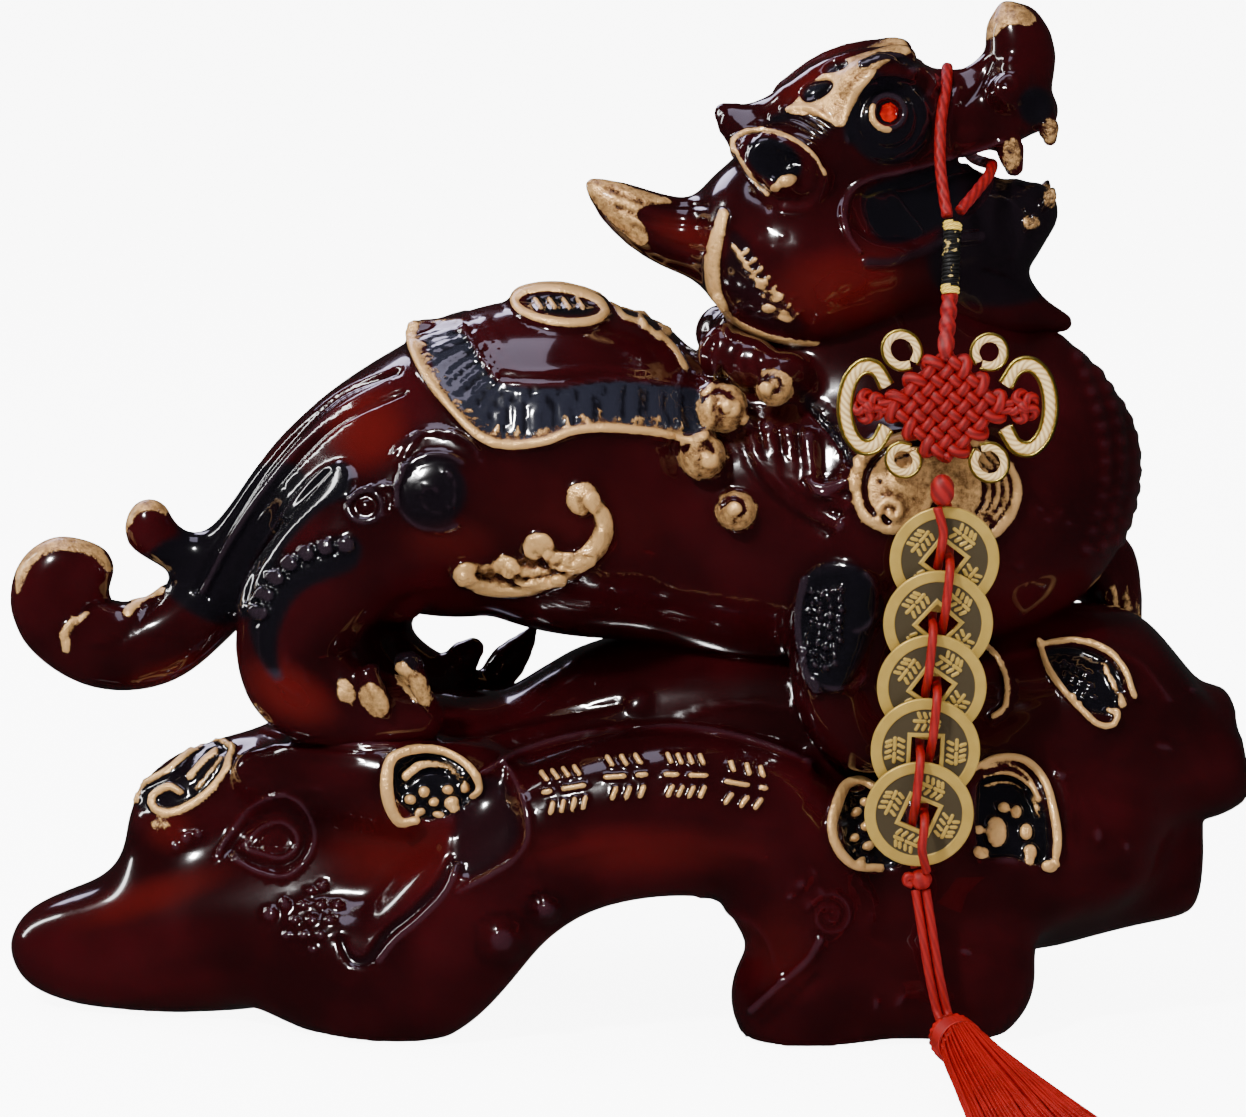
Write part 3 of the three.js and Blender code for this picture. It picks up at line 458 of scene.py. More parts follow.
    def mesh(self, name, front, back):
        """The skin as a mesh in metres, finer where the carving is, with its gold, painted glow, dark and
        crest layers in an attribute.
        """
        skin = self._first_skin(name)
        for share in (0.5, 0.95):
            self._refine(skin, front, back, share)
        mesh = bpy.data.meshes.new(name)
        skin.to_mesh(mesh)
        skin.free()
        places = np.empty(len(mesh.vertices) * 3, np.float32)
        mesh.vertices.foreach_get("co", places)
        places = places.reshape(-1, 3).astype(float)
        for _ in range(2):
            places -= self._outward(places) * np.clip(self._at(places), -1, 1)[:, None]
        read = self._reader(places, front, back)
        # Gold, painted glow, dark and crest, the last of which the lacquer turns into painted highlight and
        # shade
        finish = np.stack([read(layer) for layer in ("gold", "glow", "dark", "crest")], axis=1)
        places += self._outward(places) * read("fine")[:, None]
        mesh.vertices.foreach_set("co", (places * MM).astype(np.float32).ravel())
        mesh.update()
        mesh.shade_smooth()
        attribute = mesh.attributes.new("finish", "FLOAT_COLOR", "POINT")
        attribute.data.foreach_set("color", finish.astype(np.float32).ravel())
        return mesh


def largest_shell(count, faces):
    """Which points belong to the largest connected shell."""
    pairs = np.concatenate([faces[:, [0, 1]], faces[:, [1, 2]], faces[:, [2, 3]]])
    label = np.arange(count)
    while True:
        low = np.minimum(label[pairs[:, 0]], label[pairs[:, 1]])
        fresh = label.copy()
        np.minimum.at(fresh, pairs[:, 0], low)
        np.minimum.at(fresh, pairs[:, 1], low)
        fresh = fresh[fresh]
        fresh = fresh[fresh]
        if (fresh == label).all():
            break
        label = fresh
    return label == np.bincount(label).argmax()


def new_mesh(name, points, faces):
    """A mesh of smooth faces that all have the same number of corners."""
    faces = np.asarray(faces)
    corners = faces.shape[1]
    mesh = bpy.data.meshes.new(name)
    mesh.vertices.add(len(points))
    mesh.vertices.foreach_set("co", np.asarray(points, np.float32).ravel())
    mesh.loops.add(faces.size)
    mesh.loops.foreach_set("vertex_index", faces.astype(np.int32).ravel())
    mesh.polygons.add(len(faces))
    mesh.polygons.foreach_set("loop_start", np.arange(0, faces.size, corners, dtype=np.int32))
    mesh.update(calc_edges=True)
    mesh.validate()
    mesh.shade_smooth()
    return mesh


def add_piece(name, mesh, material):
    """The mesh as a piece that rides on the part, in its finish."""
    piece = bpy.data.objects.new(name, mesh)
    bpy.context.scene.collection.objects.link(piece)
    mesh.materials.clear()
    mesh.materials.append(material)
    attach(piece, "root")
    return piece


# The animal's and the stand's limbs: x, y, z and radius in millimetres

HEAD_MIDDLE = -3.0


def head_form():
    form = Form((-14, -36, 140), (106, 32, 233), 0.72, HEAD_MIDDLE)
    m = HEAD_MIDDLE
    for points, soft, width in (([(38, m, 189.6, 12.2), (46.6, m, 195.8, 17.6), (54, m, 199.8, 17.8),
                                  (60, m, 203, 13.5)], 3, 1.15), ([(32, m, 177, 17), (41, m, 171.5, 22),
                                                                   (54, m, 172, 19)], 5, 1.36),
                                ([(55, m, 199, 14), (69, m, 200, 10.6), (81, m, 203.5, 9.2),
                                  (88, m, 206, 7)], 6, 1.05), ([(84, m, 205, 7.5), (87.2, m, 210, 8.2),
                                                                (88.8, m, 216, 8), (87.8, m, 221.4, 6.8),
                                                                (85.8, m, 226.2, 2.8)], 3, 1.2),
                                ([(52, m, 172, 15), (66, m, 175, 15), (80, m, 176.5, 13),
                                  (90.4, m, 181.2, 7.4)], 5, 1.05), ([(68, m, 166, 12), (82, m, 161, 10),
                                                                      (92, m, 158, 5),
                                                                      (99.4, m, 156.2, 2.4)], 5, 1.0),
                                ([(38, m, 177, 13), (22, m, 174.2, 9.2), (9, m, 177.5, 7.7),
                                  (-1, m, 183, 5.2), (-7.6, m, 187.8, 1.6)], 5, 1.0),
                                ([(88, m, 204, 6.4), (93, m, 204, 4.6)], 1.5, 1.6),):
        form.limb(points, soft, width)
    form.soften(1)
    # The spike behind the ear, the brow, the eye's mound, the ear and the teeth
    form.drawn([(775, 122, -8, 22), (748, 123, -6, 18), (724, 112, -5, 9)], 5)
    form.drawn([(744, 138, -10, 15), (732, 126, -8, 10)], 5)
    form.drawn([(794, 102, -11, 16), (836, 80, -12, 22), (872, 66, -13, 18), (905, 57, -12, 11)], 4,
               both=True)
    form.drawn([(888, 116, -12.5, 28)], 6, both=True)
    form.drawn([(838, 118, -17, 10), (852, 86, -19, 13), (880, 70, -20, 11), (908, 76, -18, 7)], 3,
               both=True)
    form.drawn([(742, 150, -20, 12), (768, 158, -24, 24), (795, 170, -24, 27), (812, 184, -21, 18)], 4,
               both=True)
    form.drawn([(743, 146, -31, 5), (768, 158, -32, 20), (790, 171, -31, 20), (804, 181, -30, 12)], 1, 1.1,
               cut=True, both=True)
    form.drawn([(773, 183, -27, 7), (786, 180, -28, 9), (795, 172, -27, 6)], 1, both=True)
    form.drawn([(905, 74, -14, 11), (918, 78, -14, 10), (930, 84, -13, 6)], 2, both=True)
    form.drawn([(1042, 112, -9, 10), (1049, 128, -9, 10), (1050, 139, -9, 7)], 1, 0.8, both=True)
    form.drawn([(1044, 208, -10, 5), (1050, 198, -11, 6.5), (1053, 191, -11, 4)], 1, both=True)
    form.drawn([(1030, 226, -13, 6.5), (1034, 217, -14, 5)], 1, both=True)
    form.drawn([(944, 84, -4, 12), (966, 82, -4, 12), (986, 68, -4, 10)], 3)
    # Nostrils, and the mouth's opening between the snout and the jaw
    form.drawn([(1006, 92, -14, 15), (1018, 80, -13, 12), (1012, 70, -12, 9)], 3, both=True)
    form.drawn([(962, 158, 30, 5), (962, 158, -36, 5)], 1.5, cut=True)
    form.drawn([(975, 158, 30, 7), (975, 158, -36, 7)], 1.5, cut=True)
    form.drawn([(988, 158, 30, 8), (988, 158, -36, 8)], 1.5, cut=True)
    form.drawn([(1005, 168, 30, 9), (1005, 168, -36, 9)], 1.5, cut=True)
    form.drawn([(1032, 168, 30, 12), (1032, 168, -36, 12)], 1.5, cut=True)
    form.drawn([(1001, 130, -9, 14), (1011, 150, -10, 13), (1014, 167, -10, 9.5)], 1, 0.8, both=True)
    # Lips round the deep corner of the mouth
    form.drawn([(905, 208, -23, 30), (880, 212, -25, 27), (940, 195, -19, 18)], 4, 0.6, cut=True, both=True)
    form.even_out()
    return form


def body_form():
    form = Form((-143, -48, 58), (122, 48, 178), 0.95)
    for points, soft, width in (([(-58, 0, 125, 9), (-44, 0, 119.2, 28.8), (-26, 0, 124, 34.2),
                                  (-10.2, 0, 121.6, 37), (11, 0, 113.6, 31.2), (41, 0, 113.6, 37.2),
                                  (76, 0, 119, 37), (88, 0, 123, 28.5), (98, 0, 125, 16)], 4, 1.0),
                                ([(64, 0, 128, 36), (54, -2, 146, 27), (49, -3, 159, 21),
                                  (47, -4, 170, 17)], 7, 0.84), ([(-40, 0, 138.6, 11), (-62, 0, 128.8, 11),
                                                                  (-76.6, 0, 115, 10), (-86, 0, 101, 9.4),
                                                                  (-96, 0, 90, 9.2), (-107, 0, 82.2, 10),
                                                                  (-119, 0, 82, 10.4), (-129, 0, 88, 9.6),
                                                                  (-131.4, 0, 95, 8.2),
                                                                  (-128, 0, 99.6, 7.4), (-122, 0, 99, 6.6)],
                                                                 5, 1.0),
                                ([(-66, -8, 118.4, 12.6), (-52, -12, 126, 15.4), (-40, -10, 130.6, 16.4)],
                                 8, 1.0), ([(-84, 0, 108, 6), (-94, 0, 102.6, 5.2), (-102, 0, 103.8, 5),
                                            (-107.6, 0, 108.2, 6), (-107.6, 0, 110.6, 5.4)], 4, 1.0),
                                ([(-36, -17, 121, 21), (-55, -23, 112, 16), (-69, -25, 98, 14.5),
                                  (-74.4, -26, 87, 12.3), (-70.8, -26, 77, 12), (-57, -27, 71.5, 9.5),
                                  (-47, -27, 70.5, 7.5)], 6, 1.0), ([(-36, 19, 121, 21), (-51, 24, 100, 14),
                                                                     (-59, 26, 84, 9), (-54, 26, 73, 8.5),
                                                                     (-42, 26, 66, 7.5), (-30, 26, 63, 6)],
                                                                    5, 1.0),
                                ([(62, -20, 121, 22), (54, -28, 104, 15), (49, -31, 90, 11.5),
                                  (48, -32, 76, 10.5), (54, -33, 68, 9.5), (66, -34, 65, 7)], 6, 1.0),
                                ([(82, 20, 117, 22), (100, 26, 101, 12), (111, 27, 95, 9),
                                  (115, 28, 88, 7)], 6, 1.0),):
        form.limb(points, soft, width)
    form.soften()
    # Claws of the four paws
    for u, v, y, run, drop in ((352, 688, -33, 10, 16), (376, 690, -35, 10, 22), (418, 680, -33, 10, 30),
                               (438, 665, -27, 8, 26)):
        form.drawn([(u - 8, v - 14, y, 11), (u, v, y - 1, 10), (u + run, v + drop, y - 2, 4)], 2)
    form.drawn([(446, 672, 24, 14), (464, 657, 24, 17), (473, 649, 24, 12)], 2)
    form.drawn([(494, 680, 28, 17), (508, 662, 28, 19), (525, 642, 28, 11), (536, 625, 28, 3)], 1.5)
    for u, v, y in ((900, 742, -40), (905, 740, -32), (900, 738, -24)):
        form.drawn([(u, v - 4, y, 12), (u + 24, v + 12, y, 4)], 2)
    for u, v, y in ((1108, 592, 20), (1122, 596, 26), (1133, 598, 32)):
        form.drawn([(u - 8, v - 22, y, 11), (u, v, y - 2, 9), (u + 6, v + 34, y - 3, 4)], 2)
    # The notch between saddle and mane, the collar of mane lumps, gilt curls and the plated chest
    form.drawn([(694, 338, 40, 8), (694, 338, -40, 8)], 4, cut=True)
    for u, v, y, r in ((728, 354, -17, 25), (754, 364, -22, 24), (742, 342, -8, 20), (790, 374, -27, 20)):
        form.drawn([(u, v, y, r)], 5, both=True)
    for u, v, y, r in ((722, 408, -28, 25), (774, 388, -30, 18), (702, 456, -32.5, 23), (736, 511, -36, 19)):
        form.drawn([(u, v, y, r)], 1, both=True)
    form.drawn([(1046, 356, -4, 25), (1077, 402, -4, 29), (1096, 450, -4, 32), (1079, 508, -4, 28),
                (1052, 554, -4, 26)], 4, 1.3)
    form.drawn([(424, 338, 0, 10), (450, 341, 0, 9), (500, 325, 0, 9)], 3)
    form.drawn([(530, 313, 0, 17), (560, 312, 0, 18), (592, 318, 0, 15)], 3)
    form.drawn([(400, 600, -20, 22)], 5)
    form.even_out()
    return form


def stand_form():
    form = Form((-146, -60, -4), (147, 60, 98), 1.02)
    for points, soft, width in (([(-138, -4, 12.8, 2), (-129.5, -5, 12.3, 10.9), (-112, -6, 14.0, 16.2),
                                  (-92, -6, 18.4, 20.4), (-48, -3, 32, 27)], 4, 1.25),
                                ([(-98.4, -4, 26.5, 16), (-98.2, -4, 42, 14), (-91, -4, 49, 11)], 8, 1.0),
                                ([(-84, 0, 51, 10), (-60, 0, 52, 17), (-30, 0, 53, 17), (-4, 0, 53, 16)], 5,
                                 1.9), ([(-30, 3, 51, 13), (-16, 3, 55, 14), (-3, 3, 62, 19.5),
                                         (34, 3, 66, 23), (64, 3, 62, 25), (88, 2, 66, 24)], 8, 1.25),
                                ([(-83, -20, 57, 5), (-57, -29, 57, 10.5), (-34, -31, 53, 12)], 4, 1.0),
                                ([(-84, -20, 18, 14), (-62, -31, 14, 16.7), (-46.2, -36, 15.2, 17.3),
                                  (-27.8, -37, 35, 17.1), (-11, -37, 46, 17.9), (11, -37, 50.8, 18.8),
                                  (31, -37, 46.9, 18), (39.8, -37, 31, 15.4), (45, -37, 18, 14.4),
                                  (41.2, -36, 7, 15.4)], 4, 0.9), ([(-84, 22, 20, 15), (-50, 36, 18, 16),
                                                                    (-22, 39, 38, 15.5), (6, 39, 48, 15.5),
                                                                    (32, 39, 42, 15.5), (46, 38, 12, 14)],
                                                                   4, 1.0),
                                ([(40.2, -34, 9, 15.3), (60, -34, 15, 17), (75.7, -32, 12.7, 16.9)], 5,
                                 1.0), ([(46, 34, 12, 14), (64, 36, 16, 17), (80, 30, 18, 15)], 5, 1.0),
                                ([(50, -1, 42, 22), (74, -1, 40, 27), (102, 0, 43, 24)], 8, 1.7),
                                ([(90, 0, 60, 23), (106, 0, 65.5, 25.5), (119, 1, 61, 19.8),
                                  (132, 2, 58, 16.4)], 4, 1.3), ([(92, 4, 32, 22), (110, 6, 31.2, 17.3),
                                                                  (123.4, 8, 31.6, 15.4)], 5, 1.3),):
        form.limb(points, soft, width)
    form.soften()
    # Sawn and broken ends of the roots on the right
    form.flatten((126.6, 0, 78.8), (0.78, 0, 0.626), 2.5)
    form.limb([(112, 1, 56.8, 15), (124, 1, 57.8, 14.4), (133.4, 2, 58.6, 13.2)], 3, 1.35)
    form.flatten((140.8, 0, 62), (0.98, 0, 0.19), 3)
    form.flatten((132.9, 0, 30), (1, 0, -0.04), 3, 41.0)
    form.below(0.0)
    form.even_out()
    return form


# Carving of the head, the body and the stand, drawn over the picture


def head_carving():
    c = Carving()
    # Brow plate with its two hollows, brow ridge and eye socket
    c.area([(786, 111), (800, 97), (822, 76), (846, 60), (872, 50), (900, 44), (911, 52), (893, 60),
            (876, 70), (866, 86), (853, 106), (842, 127), (830, 121), (810, 115)], 0.7, 4, gold=1)
    c.boss(836, 67, 14, 5.5, -1.6, -20, gold=-1, dark=1)
    c.boss(817, 91, 18, 9.5, -2.4, -26, gold=-1, dark=1)
    c.stroke([(862, 64), (882, 56), (902, 58), (914, 68)], 5, 0.7, gold=-0.9, dark=1)
    c.stroke([(848, 140), (848, 114), (858, 90), (876, 74)], 5, 0.6, dark=1)
    c.boss(890, 120, 46, 48, 0.01, dark=0.9)
    c.ring(889, 118, 29, 31, 3, -0.6)
    c.ring(891, 122, 42, 43, 3, -0.45)
    c.boss(888, 112, 15, 15, -1.6)
    c.ring(888, 112, 16, 16, 3.6, 0.9)
    c.stroke([(873, 108), (872, 120), (880, 129), (888, 131)], 3.2, 0.3, gold=0.62)
    # Snout folds, nostril scroll, nose and teeth
    # The fold above the snout carries a little painted glow
    c.stroke([(912, 72), (924, 70), (934, 80), (928, 94)], 5, 0.6, glow=0.3)
    c.stroke([(958, 88), (952, 110), (946, 138), (950, 156)], 4, 0.5)
    c.stroke([(992, 62), (980, 86), (964, 104)], 4, -0.5)
    c.area([(956, 130), (980, 127), (1003, 135), (990, 148), (962, 158)], 0.4, 5)
    c.spiral(1010, 86, 16, 1.2, 100, 3.4, 0.4)
    c.area([(982, 40), (985, 20), (997, 4), (1010, 2), (1027, 9), (1036, 19), (1030, 25), (1016, 24),
            (1002, 28), (993, 38)], 0.05, 6, gold=0.8)
    c.boss(1036, 106, 20, 22, 0.5, dark=0.9)
    for u, v, wide, tall in ((1012, 155, 11, 19), (1050, 130, 10, 15), (1050, 198, 8, 12),
                             (1032, 222, 9, 9)):
        c.boss(u, v, wide, tall, 0.1, gold=0.6)
    # The ear's rim and its hollow
    c.boss(774, 160, 32, 22, 0.01, 30, dark=1)
    c.stroke([(734, 150), (733, 140), (748, 131), (772, 131), (796, 141), (814, 156), (824, 174)],
             [3.4, 3.4, 3.4, 3, 2.6, 2.2, 1.8], 0.8, gold=0.72)
    c.stroke([(734, 148), (745, 167), (757, 184), (768, 195)], 2.6, 0.6, gold=0.66)
    c.boss(786, 181, 12, 7, 0.8, -20, gold=0.9)
    c.boss(775, 188, 6, 5, 0.6, gold=0.8)
    c.stroke([(826, 172), (822, 192), (806, 206), (784, 206)], 6, 0.6)
    for shift in (0, 11, 22):
        c.stroke([(760 + shift, 124 - shift * 0.7), (790 + shift, 122 - shift * 0.6),
                  (822 + shift * 0.6, 138 - shift * 0.5)], 3.2, 0.7, dark=0.9)
    c.area([(722, 108), (742, 102), (770, 102), (752, 128), (732, 140)], 0.2, 6)
    # Gill plate, its lower edge and its fine comb
    c.area([(728, 232), (744, 238), (756, 258), (770, 290), (800, 318), (806, 332), (770, 330), (738, 308),
            (726, 280)], -0.3, 6, gold=0.12, dark=0.6)
    c.stroke([(723, 214), (717, 236), (712, 262), (714, 290), (725, 308)], [6, 8, 9, 8, 4], 1.4, gold=0.95)
    c.stroke([(717, 298), (730, 318), (756, 333), (788, 342), (818, 344)], [4, 4, 4, 4, 2.5], 0.9, gold=0.8)
    for i in range(8):
        c.stroke([(733 + 6 * i, 246 + 10 * i), (741 + 7 * i, 254 + 9.5 * i), (748 + 7 * i, 250 + 9 * i)],
                 2.6, 0.6, gold=0.75 - 0.05 * i)
    for u, v in ((762, 283), (776, 296), (768, 309), (785, 316)):
        c.boss(u, v, 7, 5, 0.7, 20, gold=0.8)
    for u, v in ((787, 279), (793, 297), (800, 311), (812, 324), (831, 328), (846, 330)):
        c.boss(u, v, 3, 3, 0.5)
    # The lips round the deep corner of the mouth, and the jaw
    c.stroke([(1004, 141), (968, 153), (935, 163), (900, 172), (872, 178), (852, 190), (844, 210),
              (848, 234), (860, 252)], [3, 3, 3, 3.5, 4, 4.5, 5, 4, 3], 0.9)
    c.area([(862, 204), (876, 186), (910, 176), (948, 168), (952, 205), (924, 234), (882, 240)], -0.3, 10,
           dark=1)
    c.stroke([(868, 262), (892, 262), (920, 252), (948, 240), (980, 236)], 7, 0.9, dark=0.7)
    c.area([(955, 160), (1000, 172), (1030, 184), (1062, 188), (1062, 260), (1030, 300), (960, 300),
            (930, 268), (945, 220)], 0.01, 20, dark=0.8)
    c.stroke([(1010, 200), (1022, 214), (1024, 236), (1012, 256)], 4, 0.5)
    c.stroke([(985, 272), (1010, 282), (1040, 300)], 4, -0.5)
    # Painted glow where light shines through thin lacquer
    c.painted_glow((840, 290, 120, 60, -8, 0.9), (815, 80, 80, 30, -32, 0.8), (690, 236, 70, 28, 18, 0.8))
    for i in range(16):
        c.boss(756 + 5.4 * i, 240 + 22 * math.sin(2.1 * i) + 3.2 * i, 2.6, 2.4, 0.45)
    # Gilded tip of the lock, and grooves along it
    c.area([(578, 176), (600, 178), (640, 190), (672, 202), (644, 206), (636, 216), (648, 234), (642, 246),
            (616, 226), (596, 204)], 0.1, 5, gold=0.85)
    for points in ([(606, 188), (650, 204), (708, 206)], [(616, 206), (660, 222), (712, 226)],
                   [(634, 226), (674, 244), (706, 252)]):
        c.stroke(points, 3.2, -0.4)
    return c, c.copy()


def body_carving():
    c = Carving()
    # Saddle cloth: the cloth, its sunken fringe with pleats, and its gilt hem brushed upward. The fringe is
    # dark with a painted blue-grey sheen
    c.area([(404, 322), (412, 356), (432, 388), (456, 418), (480, 442), (508, 452), (545, 447), (572, 438),
            (600, 434), (650, 438), (700, 446), (712, 400), (712, 250), (404, 250)], 1.3, 4)
    c.area([(424, 336), (462, 332), (484, 366), (504, 384), (560, 386), (610, 380), (660, 384), (700, 392),
            (700, 432), (650, 428), (590, 426), (545, 436), (508, 442), (476, 428), (448, 398)], -0.4, 5,
           glow=0.85, dark=1)
    pleats = (((420, 340), (464, 330)), ((430, 352), (468, 338)), ((438, 366), (474, 348)),
              ((448, 380), (479, 357)), ((458, 392), (486, 368)), ((470, 406), (494, 378)),
              ((484, 418), (500, 388)), ((498, 430), (510, 392)), ((518, 432), (524, 392)),
              ((538, 430), (544, 393)), ((546, 428), (552, 393)), ((568, 424), (572, 390)),
              ((588, 420), (592, 388)), ((596, 418), (600, 388)), ((618, 418), (620, 386)),
              ((636, 420), (636, 388)), ((644, 420), (643, 389)), ((664, 424), (660, 391)),
              ((684, 430), (678, 395)))
    for i, ((u, v), (p, q)) in enumerate(pleats):
        c.stroke([(u, v), ((u + p) / 2 - 3, (v + q) / 2), (p, q)], 3.2 if i % 3 else 5, 0.45)
        # Beside each ridge a groove takes the painted sheen out again, as painted shade between the pleats
        c.stroke([(u + 6, v), ((u + p) / 2 + 3, (v + q) / 2), (p + 6, q)], 2.2, -0.45, glow=-0.22)
    hem = [(412, 328), (411, 346), (426, 378), (448, 406), (476, 434), (505, 444), (544, 441), (570, 431),
           (600, 427), (650, 431), (694, 441)]
    c.stroke(hem, [7, 5.5, 5, 5, 5.5, 5, 4.5, 4.5, 5, 4, 2.5], 0.9, gold=0.9)
    edge = flowing(hem, 5)
    for i, (u, v) in enumerate(edge[3:-3]):
        du, dv = edge[i + 4] - edge[i + 2]
        size = (9 + 10 * ((i * 37) % 11) / 10) / math.hypot(du, dv)
        c.stroke([(u, v), (u + dv * size, v - du * size)], [3.2, 1.2], 0.2, gold=0.85)
    c.stroke([(462, 326), (476, 350), (494, 374), (506, 384), (560, 385), (610, 379), (660, 383),
              (700, 390)], 3.2, 0.7)
    for points in ([(474, 322), (486, 344), (502, 368)], [(484, 318), (496, 340), (512, 366)],
                   [(504, 370), (540, 372), (600, 368), (650, 372)]):
        c.stroke(points, 2.8, 0.5)
    c.stroke([(410, 324), (432, 322), (462, 320)], 4, 0.6, gold=0.25)
    # The coin on top and its ribbon
    c.boss(560, 306, 53, 24, 2.0, 7)
    c.ring(560, 305, 46, 17, 4.6, 1.0, 7, gold=0.95)
    c.boss(560, 304, 37, 11, -1.0, 7, gold=-1, dark=1)
    for u in (538, 552, 566, 580):
        c.stroke([(u - 3, 299), (u + 3, 308)], 2.8, 1.1, gold=1)
    for points in ([(612, 298), (624, 316), (642, 322), (660, 338)], [(620, 298), (648, 310), (670, 332)],
                   [(660, 332), (676, 350), (686, 368)], [(640, 312), (644, 326)]):
        c.stroke(points, 3.4, 0.9, gold=0.85)
    # The wing scroll low on the flank: a curl, a stem and bundles of feathers
    c.area([(452, 578), (466, 562), (488, 566), (502, 554), (522, 558), (528, 538), (546, 534), (560, 550),
            (580, 548), (594, 532), (606, 530), (600, 552), (574, 574), (540, 590), (500, 597), (464, 590)],
           1.0, 5, gold=1)
    c.stroke([(592, 500), (603, 522), (598, 546), (578, 562), (552, 560)], [9, 11, 12, 12, 9], 2.2,
             gold=0.95)
    c.stroke([(588, 560), (560, 576), (530, 578), (512, 572)], [9, 11, 11, 9], 2.0, gold=0.9)
    c.stroke([(560, 582), (524, 590), (488, 588), (464, 580)], [7, 9, 9, 7], 1.9, gold=0.85)
    c.boss(583, 499, 18, 18, 2.2, gold=1)
    c.boss(538, 546, 17, 15, 2.2, gold=0.95)
    c.boss(507, 567, 14, 11, 2.0, gold=0.95)
    c.boss(465, 574, 13, 12, 1.9, gold=0.95)
    for points in ([(534, 552), (556, 566), (584, 558)], [(540, 562), (560, 574), (586, 566)],
                   [(506, 570), (526, 580), (550, 576)], [(500, 577), (524, 588), (548, 582)],
                   [(478, 576), (500, 586), (518, 586)], [(588, 510), (596, 528), (590, 546)]):
        c.stroke(points, 2.4, -0.7, gold=-0.12)
    for i in range(9):
        c.stroke([(470 + 13 * i, 592 - 2 * i), (482 + 13 * i, 580 - 3 * i), (490 + 12 * i, 572 - 3 * i)],
                 1.8, -0.4)
    for i in range(4):
        c.stroke([(524 + 8 * i, 540 + 2 * i), (532 + 8 * i, 552 + 2 * i)], 1.8, -0.4)
    # Haunch scroll, small curl, and the folds of the thigh
    c.boss(434, 492, 36, 36, 1.2, dark=0.85)
    c.ring(436, 492, 40, 38, 4, 1.2, 0, 60, 250, dark=0.8)
    c.spiral(434, 494, 26, 1.1, -60, 3.4, 0.8)
    c.ring(436, 468, 46, 38, 3.4, 0.9, 0, 200, 150, dark=0.7)
    c.ring(365, 506, 17, 16, 4, 1.2, dark=0.8)
    c.boss(365, 506, 8, 8, 0.9)
    c.stroke([(350, 500), (372, 486), (398, 484), (404, 456), (418, 434)], 3.6, 0.9, dark=0.6)
    c.stroke([(384, 516), (396, 504), (398, 486)], 3.2, 0.8)
    c.area([(232, 600), (262, 540), (306, 482), (342, 461), (352, 474), (346, 496), (318, 512), (284, 548),
            (258, 596), (244, 618)], 0.9, 5, dark=1)
    c.area([(296, 446), (346, 396), (396, 372), (414, 396), (402, 448), (374, 484), (356, 486), (344, 462),
            (318, 456)], -0.12, 8)
    # Painted glow on the haunch, where light shines through thin lacquer
    c.painted_glow((366, 430, 62, 66, 20, 1))
    # Tail strands and gilded curls
    for points in ([(398, 372), (336, 400), (274, 462), (228, 530), (196, 590)],
                   [(404, 392), (338, 424), (284, 478), (240, 540), (208, 598)],
                   [(330, 470), (296, 508), (262, 556), (246, 600)]):
        c.stroke(points, 3.4, -1.0, dark=0.4)
    c.stroke([(388, 382), (334, 412), (280, 468), (234, 534), (202, 592)], 3, 0.5)
    c.area([(180, 520), (250, 470), (300, 470), (300, 520), (270, 560), (235, 620), (190, 610), (165, 580),
            (200, 552)], 0.01, 16, dark=0.9)
    c.stroke([(18, 592), (22, 570), (38, 550), (66, 541), (94, 550), (110, 570)], [3, 7, 9, 10, 8, 4], 0.2,
             gold=0.8)
    c.stroke([(124, 530), (130, 514), (146, 502), (166, 510)], [4, 8, 9, 5], 0.2, gold=0.8)
    c.stroke([(128, 612), (140, 598), (160, 590)], 5, 0.8, gold=0.9)
    c.stroke([(66, 650), (67, 630), (86, 613)], [4, 6, 3], 0.9, gold=0.85)
    c.stroke([(64, 640), (90, 606), (130, 600)], 3.4, -0.7)
    c.stroke([(160, 596), (120, 640), (92, 650)], 3.4, -0.5)
    c.boss(176, 562, 40, 26, 0.01, -30, dark=0.9)
    # Gilt curls down the neck
    for u, v, r, nub in ((722, 408, 25, (731, 408)), (774, 388, 18, (766, 388)), (702, 456, 23, (710, 460)),
                         (736, 511, 19, (735, 509))):
        c.boss(u, v, r + 3, r + 2, 0.2, gold=0.8)
        c.spiral(u, v, r * 0.84, 0.8, 200, 2.6, -0.7, gold=-0.4)
        c.boss(*nub, r * 0.42, r * 0.4, 1.3, gold=1)
    # Painted glow on the tail, the hind paw and the flank, where light shines through thin lacquer
    c.painted_glow((180, 670, 90, 24, -14, 0.8), (290, 694, 80, 44, 30, 1), (560, 520, 200, 80, 0, 0.4),
           (450, 540, 90, 44, 0, 0.6))
    back = c.copy()
    # Mane hair that sweeps down from the neck
    for i in range(4):
        c.stroke([(748 + 20 * i, 422 + 5 * i), (760 + 18 * i, 462 + 6 * i), (790 + 14 * i, 498 - 4 * i),
                  (838 + 6 * i, 524 - 20 * i)], 8, 1.3)
    for i in range(10):
        t = i / 9
        c.stroke([(742 + 54 * t, 430 + 4 * t), (752 + 46 * t, 466 + 6 * t), (778 + 40 * t, 500 - 4 * t),
                  (830 + 16 * t, 536 - 34 * t)], 2.8, -0.7)
    for i in range(6):
        c.stroke([(796 + 9 * i, 384 + 7 * i), (808 + 8 * i, 408 + 8 * i), (834 + 4 * i, 428 + 9 * i)], 2.6,
                 -0.7, dark=0.8)
    for i in range(5):
        c.stroke([(712 + 12 * i, 342 + 3 * i), (706 + 13 * i, 362 + 3 * i), (714 + 14 * i, 382)], 2.6, -0.7)
